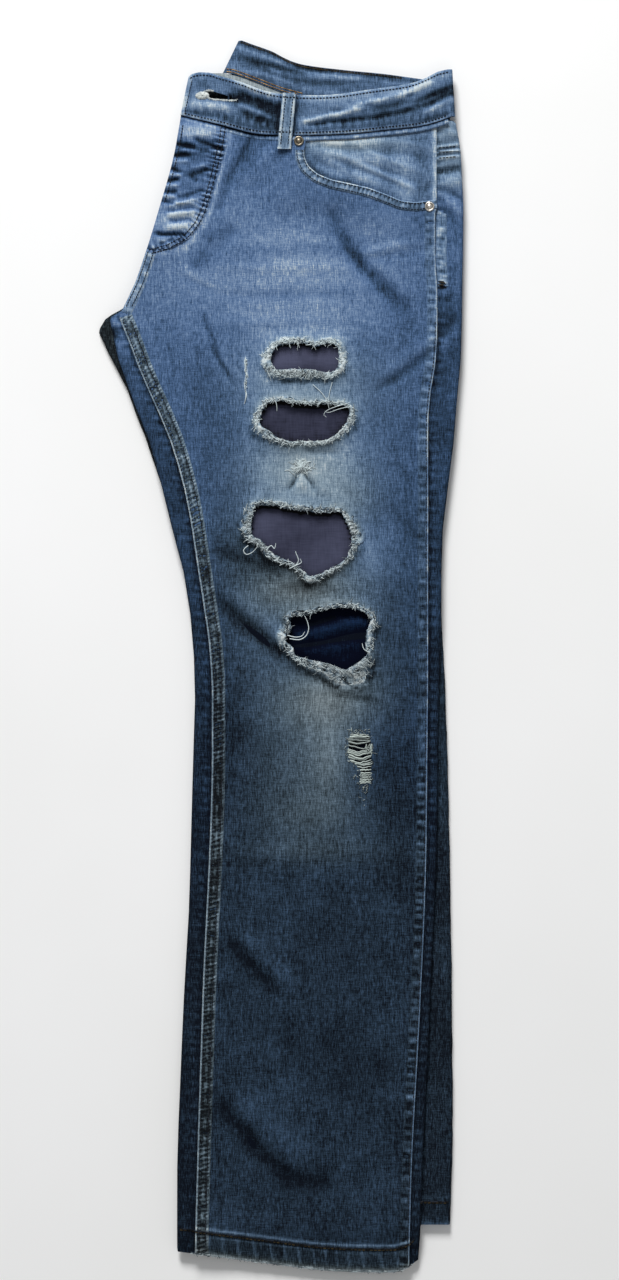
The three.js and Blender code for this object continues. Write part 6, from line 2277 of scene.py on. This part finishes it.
class Jeans:
    """The folded jeans, made piece by piece from the layers underneath to the sewing on top."""

    AGED = Metal("aged_rivet", linear(46, 43, 38), linear(158, 148, 130), 0.40)
    BRIGHT = Metal("bright_rivet", linear(150, 140, 126), linear(246, 240, 230), 0.34)
    SEWN_ON = (
        "left_front", "left_back", "left_yoke", "right_half", "waistband_front", "waistband_back", "belt_loop",
        "pocket_facing", "inseam_band", "side_band", "pocket_band", "waist_seam", "hip_band", "rise_band", "fly_facing",
    )
    ON_FRONT = (
        "rip_fray", "ladder", "inseam", "side_b", "pocket_b", "sewing", "waist_s", "hip", "hem_f", "worn", "rise",
        "fly",
    )

    SPOT_YARNS, SCUFF_YARNS, HEM_YARNS = 241, 49, 260
    SPOT = (18.7, 164.5)
    SCUFF_X, SCUFF_LOW, SCUFF_HIGH = -30.2, 226, 258
    HEM_START, HEM_END = -78, 114

    def __init__(self) -> None:
        """Reads the form of the front and of the back, which most pieces lie on."""
        self.made = Made()
        self.front = Front()
        self.back = BackPanel(self.front)
        self.sheets: list[tuple[str, Draft, str, tuple[str, ...], float]] = []

    def build(self) -> None:
        """Makes every piece, then works out what each sheet was cut to."""
        made, front = self.made, self.front
        self.keep("right_half", UnderHalf().build(made), "folded", ())
        (back, back_width), (yoke, yoke_width) = self.back.build(made)
        self.keep("left_back", back, "folded", ("right_half",), back_width)
        self.keep("left_yoke", yoke, "folded", ("right_half",), yoke_width)
        self.keep("waistband_back", BackBand().build(made), "laid", ("right_half",))
        self.keep("rip_backing", RipBacking().build(made, front), "laid", ("left_back",))
        self.keep("pocket_facing", PocketFacing().build(made, front), "laid", ("left_back",))
        self.keep("left_front", FrontPanel(front).build(made), "laid", ("left_back",))
        FlyFacing(front).build(made)
        self.seams()
        band = FrontBand()
        self.keep("waistband_front", band.build(made), "laid", ("waistband_back",))
        self.keep("belt_loop", BeltLoop().build(made), "laid", ("waistband_front",))
        Rivet("rivet_waist", self.AGED, "aged_rivet").build(made)
        Rivet("rivet_side", self.BRIGHT, "bright_rivet").build(made)
        for rip in RIPS:
            Fray(rip, front).build(made)
        LadderWindow().build(made, front)
        self.broken_yarns()
        self.stitching(band)
        self.declare()

    def keep(self, name: str, draft: Draft, held: str, rests_on: tuple[str, ...], width: float | None = None) -> None:
        """Keeps a sheet's mesh and what it rests on; width is its cut's, if it is rolled."""
        self.sheets.append((name, draft, held, rests_on, width or float(np.ptp(draft.points[:, 0]))))

    def seams(self) -> None:
        """Makes the felled bands along the inseam, the side seam, the pocket, the waist, the hip and the rise."""
        front, back = self.front, self.back
        leg = np.arange(front.crotch_y - 1.0, front.hem_y + 1.0, -1.0)
        low = np.arange(389.0, front.hem_y + 1.0, -1.0)
        across = np.linspace(-84, 145, 230)
        hip, rise = np.arange(388.0, 321.0, -0.9), np.arange(352.0, 299.0, -0.9)
        bands = (
            ("inseam_band", self.along(front.inseam, leg), 1, front, "denim_front", Band(
                width=11.6, rise=0.6, pucker=0.42, period=3.9, seed=201, paler=0.13, contrast=0.31, edge_paler=0.46,
                greyer=0.5, lean=0.25, broken=0.5, columns=17, rows=(3.4, 7.6), worked=1.0)),
            ("side_band", self.along(front.side, low), -1, front, "denim_front", Band(
                width=9.0, rise=0.4, pucker=0.5, period=9.0, seed=203, paler=0.03, contrast=0.26, edge_paler=0.52,
                far_paler=0.0, greyer=0.1)),
            # The pocket band's darker far edge is a painted shadow cast by the raised band on the panel below.
            ("pocket_band", spaced(POCKET_EDGE[1:], 0.9), -1, front, "denim_front", Band(
                width=8.2, rise=0.9, pucker=0.34, period=4.2, seed=205, paler=0.10, contrast=0.23, edge_paler=0.30,
                far_paler=-0.10, greyer=0.2, lean=0.2, broken=0.5, rows=(2.6,), dent=1.2)),
            # The waist seam's dark edge is a painted shadow under the waistband's lower edge.
            ("waist_seam", np.column_stack([across, front.waist.at(across) - 0.5]), -1, front, "denim_front", Band(
                width=4.6, rise=0.5, pucker=0.25, period=7.0, seed=207, paler=0.04, contrast=0.10, edge_paler=-0.50,
                far_paler=0.0, greyer=0.1, columns=8)),
            ("hip_band", np.column_stack([front.side.at(hip) + 0.6, hip]), 1, back, "denim_back", Band(
                width=9.5, rise=0.5, pucker=0.5, period=6.0, seed=209, paler=0.07, contrast=0.30, edge_paler=-0.2,
                far_paler=0.0, greyer=0.15, lean=-0.3, broken=0.55)),
            ("rise_band", np.column_stack([front.inseam.at(rise) + 0.3, rise]), 1, front, "denim_front", Band(
                width=8.5, rise=0.5, pucker=0.5, period=5.2, seed=211, paler=0.04, contrast=0.32, edge_paler=0.10,
                far_paler=0.14, greyer=0.15, lean=0.2, broken=0.5)),
        )
        for name, path, side, ground, slot, band in bands:
            self.made.add(name, band.draft(path, ground.height, ground.wear_and_shade, side), Denim(), slot)

    def along(self, edge: Line, levels: Array, inset: float = 0.0) -> Array:
        """Returns a line beside an edge of the front, bent as the cloth's rows are."""
        x = edge.at(levels) + inset
        return np.column_stack([x, self.front.bent(x, levels)])

    def stitching(self, band: FrontBand) -> None:
        """Sews every row of stitches that shows.

        Args:
            band: the front waistband.
        """
        made, front = self.made, self.front
        sewing = Sewing(Ground(made.pieces[name] for name in self.SEWN_ON))
        row, navy, tan, olive = sewing.row, Thread.NAVY, Thread.TAN, Thread.OLIVE

        def level_rows(line: Line, places: Array, insets: Sequence[float], thread: Thread, *stitch: float) -> None:
            """Sews rows above or below an edge that is given for each X."""
            for inset in insets:
                row(np.column_stack([places, line.at(places) + inset]), thread, *stitch)

        def upright_rows(places: Array, insets: Sequence[float], *stitch: float) -> None:
            """Sews rows inside the inseam's edge above the crotch."""
            for inset in insets:
                row(np.column_stack([front.inseam.at(places) + inset, places]), navy, *stitch)

        leg = np.linspace(front.crotch_y - 4, front.hem_y + 2, 120)
        for inset in (1.9, 8.9):
            row(self.along(front.inseam, leg, inset), navy, 3.2, 2.3)
        row(self.along(front.side, leg, -1.6), navy, 3.4, 2.4)
        for inset in (1.3, 6.4):
            row(self.inset(POCKET_EDGE[1:-1], -inset), navy, 2.6, 1.7)
        fly_levels = (462, 450, 440, 423, 406, 391, 376, 368, 362, 357, 354, 351, 349.5)
        fly = [(float(FLY_LINE.at(y)), y) for y in fly_levels]
        for inset in (0.0, 3.5):
            row(self.inset(fly, -inset), navy, 2.5, 1.7, 0.46)
        upright_rows(np.linspace(462, 392, 24), (3.4,), 2.5, 1.7, 0.46)
        upright_rows(np.linspace(352, 302, 30), (2.0, 7.0), 2.6, 1.8)
        level_rows(band.low, np.linspace(-84, 147, 90), (2.2,), navy, 2.9, 1.3, 0.58)
        level_rows(band.high, np.linspace(-79, 147, 90), (-2.6,), navy, 2.9, 1.3, 0.56)
        row([(-83.2, 473), (-76.4, 503)], navy, 2.6, 1.8)
        back_low, back_high = Outline("waistband_back").ends()
        level_rows(back_low, np.linspace(-47, 20, 40), (1.2, 3.6), tan, 2.4, 1.9)
        level_rows(back_high, np.linspace(-35, 106, 70), (-0.9, -2.0), olive, 2.6, 2.2)
        low, high = corners("belt_loop")
        for across in (-3.2, 3.2):
            row([(high[0] - 6 + across, high[1] - 2), (low[0] + 6 + across, low[1] + 2)], navy, 2.7, 1.5, 0.44)
        hem = np.linspace(-88, 118, 80)
        # The navy row beside the olive hem row is a painted shadow of the stitching's groove, made as dark thread.
        level_rows(front.hem, hem, (20.9,), navy, 3.2, 2.8, 0.6)
        level_rows(front.hem, hem, (19.7,), olive, 3.4, 2.2, 0.5)
        # The same painted shadow of the groove on the right leg's hem.
        row([(121, -475.1), (147, -475.6)], navy, 3.2, 2.8, 0.6)
        row([(121, -476.2), (147, -476.7)], olive, 3.4, 2.2, 0.5)
        for lift in (0.0, 4.6, 9.0):
            row([(137.5, 433 + lift), (155, 434.5 + lift)], navy, 3.0, 2.2)
        for k in range(7):
            row([(136.6 + k % 3, 326 - k), (146 - k % 2, 325.4 - k)], olive if k % 2 else navy, 6.0, 5.2)
        sewing.build(made)

    def broken_yarns(self) -> None:
        """Makes the worn spot between the rips with the scuff beside the first rip, and the hem's broken edge."""
        rng, t = np.random.default_rng(301), np.linspace(0, 1, 6)
        count = self.SPOT_YARNS + self.SCUFF_YARNS
        strands = [self._spot_yarn(number >= self.SPOT_YARNS, rng, t) for number in range(count)]
        self.made.add("worn_spot_yarns", laid_yarns(strands, self.front.height), LOOSE_YARN, "loose_yarn")
        strands = [self._hem_yarn(rng, t) for _ in range(self.HEM_YARNS)]
        self.made.add("hem_fringe", laid_yarns(strands, self.front.height), LOOSE_YARN, "loose_yarn")

    def _spot_yarn(self, in_scuff: bool, rng: np.random.Generator, t: Array) -> Strand:
        """Returns a broken yarn of the worn spot, or of the long scuff."""
        turn, far = rng.uniform(0, 2 * math.pi), abs(rng.normal(0, 4.6))
        start = np.array([self.SPOT[0] + far * math.cos(turn), self.SPOT[1] + 0.75 * far * math.sin(turn)])
        way = rng.normal(0, 1, 2) * rng.uniform(0.8, 2.4)
        if in_scuff:
            start = np.array([self.SCUFF_X + rng.normal(0, 0.5), rng.uniform(self.SCUFF_LOW, self.SCUFF_HIGH)])
            far, way = 3.0, way * (0.25, 1.6)
        curl = np.array([-way[1], way[0]]) * rng.normal(0, 0.1 if in_scuff else 0.5)
        spots = start + way * t[:, None] + curl * (t**2)[:, None]
        lift = 0.25 + 1.6 * math.exp(-far / 4) * np.sin(math.pi * (0.1 + 0.85 * t))
        return np.column_stack([spots, lift]), rng.uniform(0.22, 0.5), rng.uniform(0.5, 1.2)

    def _hem_yarn(self, rng: np.random.Generator, t: Array) -> Strand:
        """Returns a broken yarn of the hem's edge."""
        x = rng.uniform(self.HEM_START, self.HEM_END)
        y = float(self.front.hem.at(x)) + rng.uniform(-0.4, 1.8)
        way = np.array([rng.normal(0, 1.3), -abs(rng.normal(0.2, 0.7))])
        spots = np.array([x, y]) + way * t[:, None]
        lift = 0.15 + 0.2 * np.sin(math.pi * t) - 0.5 * t
        return np.column_stack([spots, lift]), rng.uniform(0.18, 0.36), rng.uniform(0.0, 0.8)

    @staticmethod
    def inset(bends: Sequence[Point], distance: float) -> Array:
        """Returns a line beside another, to its left where distance is above 0."""
        line = spaced(bends, 1.0)
        return line + beside(line) * distance

    def declare(self) -> None:
        """Works out what each sheet of cloth was cut to, with the pieces that are sewn to it, but does nothing with
        them.
        """
        pieces = self.made.pieces
        sewn = {
            "left_front": [name for name in pieces if name.startswith(self.ON_FRONT)],
            "left_back": ["back_inside"],
            "waistband_front": ["buttonhole_stitches"],
        }
        for name, draft, held, rests_on, width in self.sheets:
            flat = (width * MM, float(np.ptp(draft.points[:, 1])) * MM)
            # A cut is no larger than its box; the mesh's area has its rim and cockles too.
            area = min(draft.area() / 2, flat[0] * flat[1])
            with_pieces = [pieces[other] for other in sewn.get(name, [])]
            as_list(rests_on)


def main() -> None:
    """Builds the jeans and the studio."""
    logging.basicConfig(level=logging.INFO, format="%(name)s %(message)s")
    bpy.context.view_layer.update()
    Jeans().build()
    Studio().build()


if __name__ == "__main__":
    main()
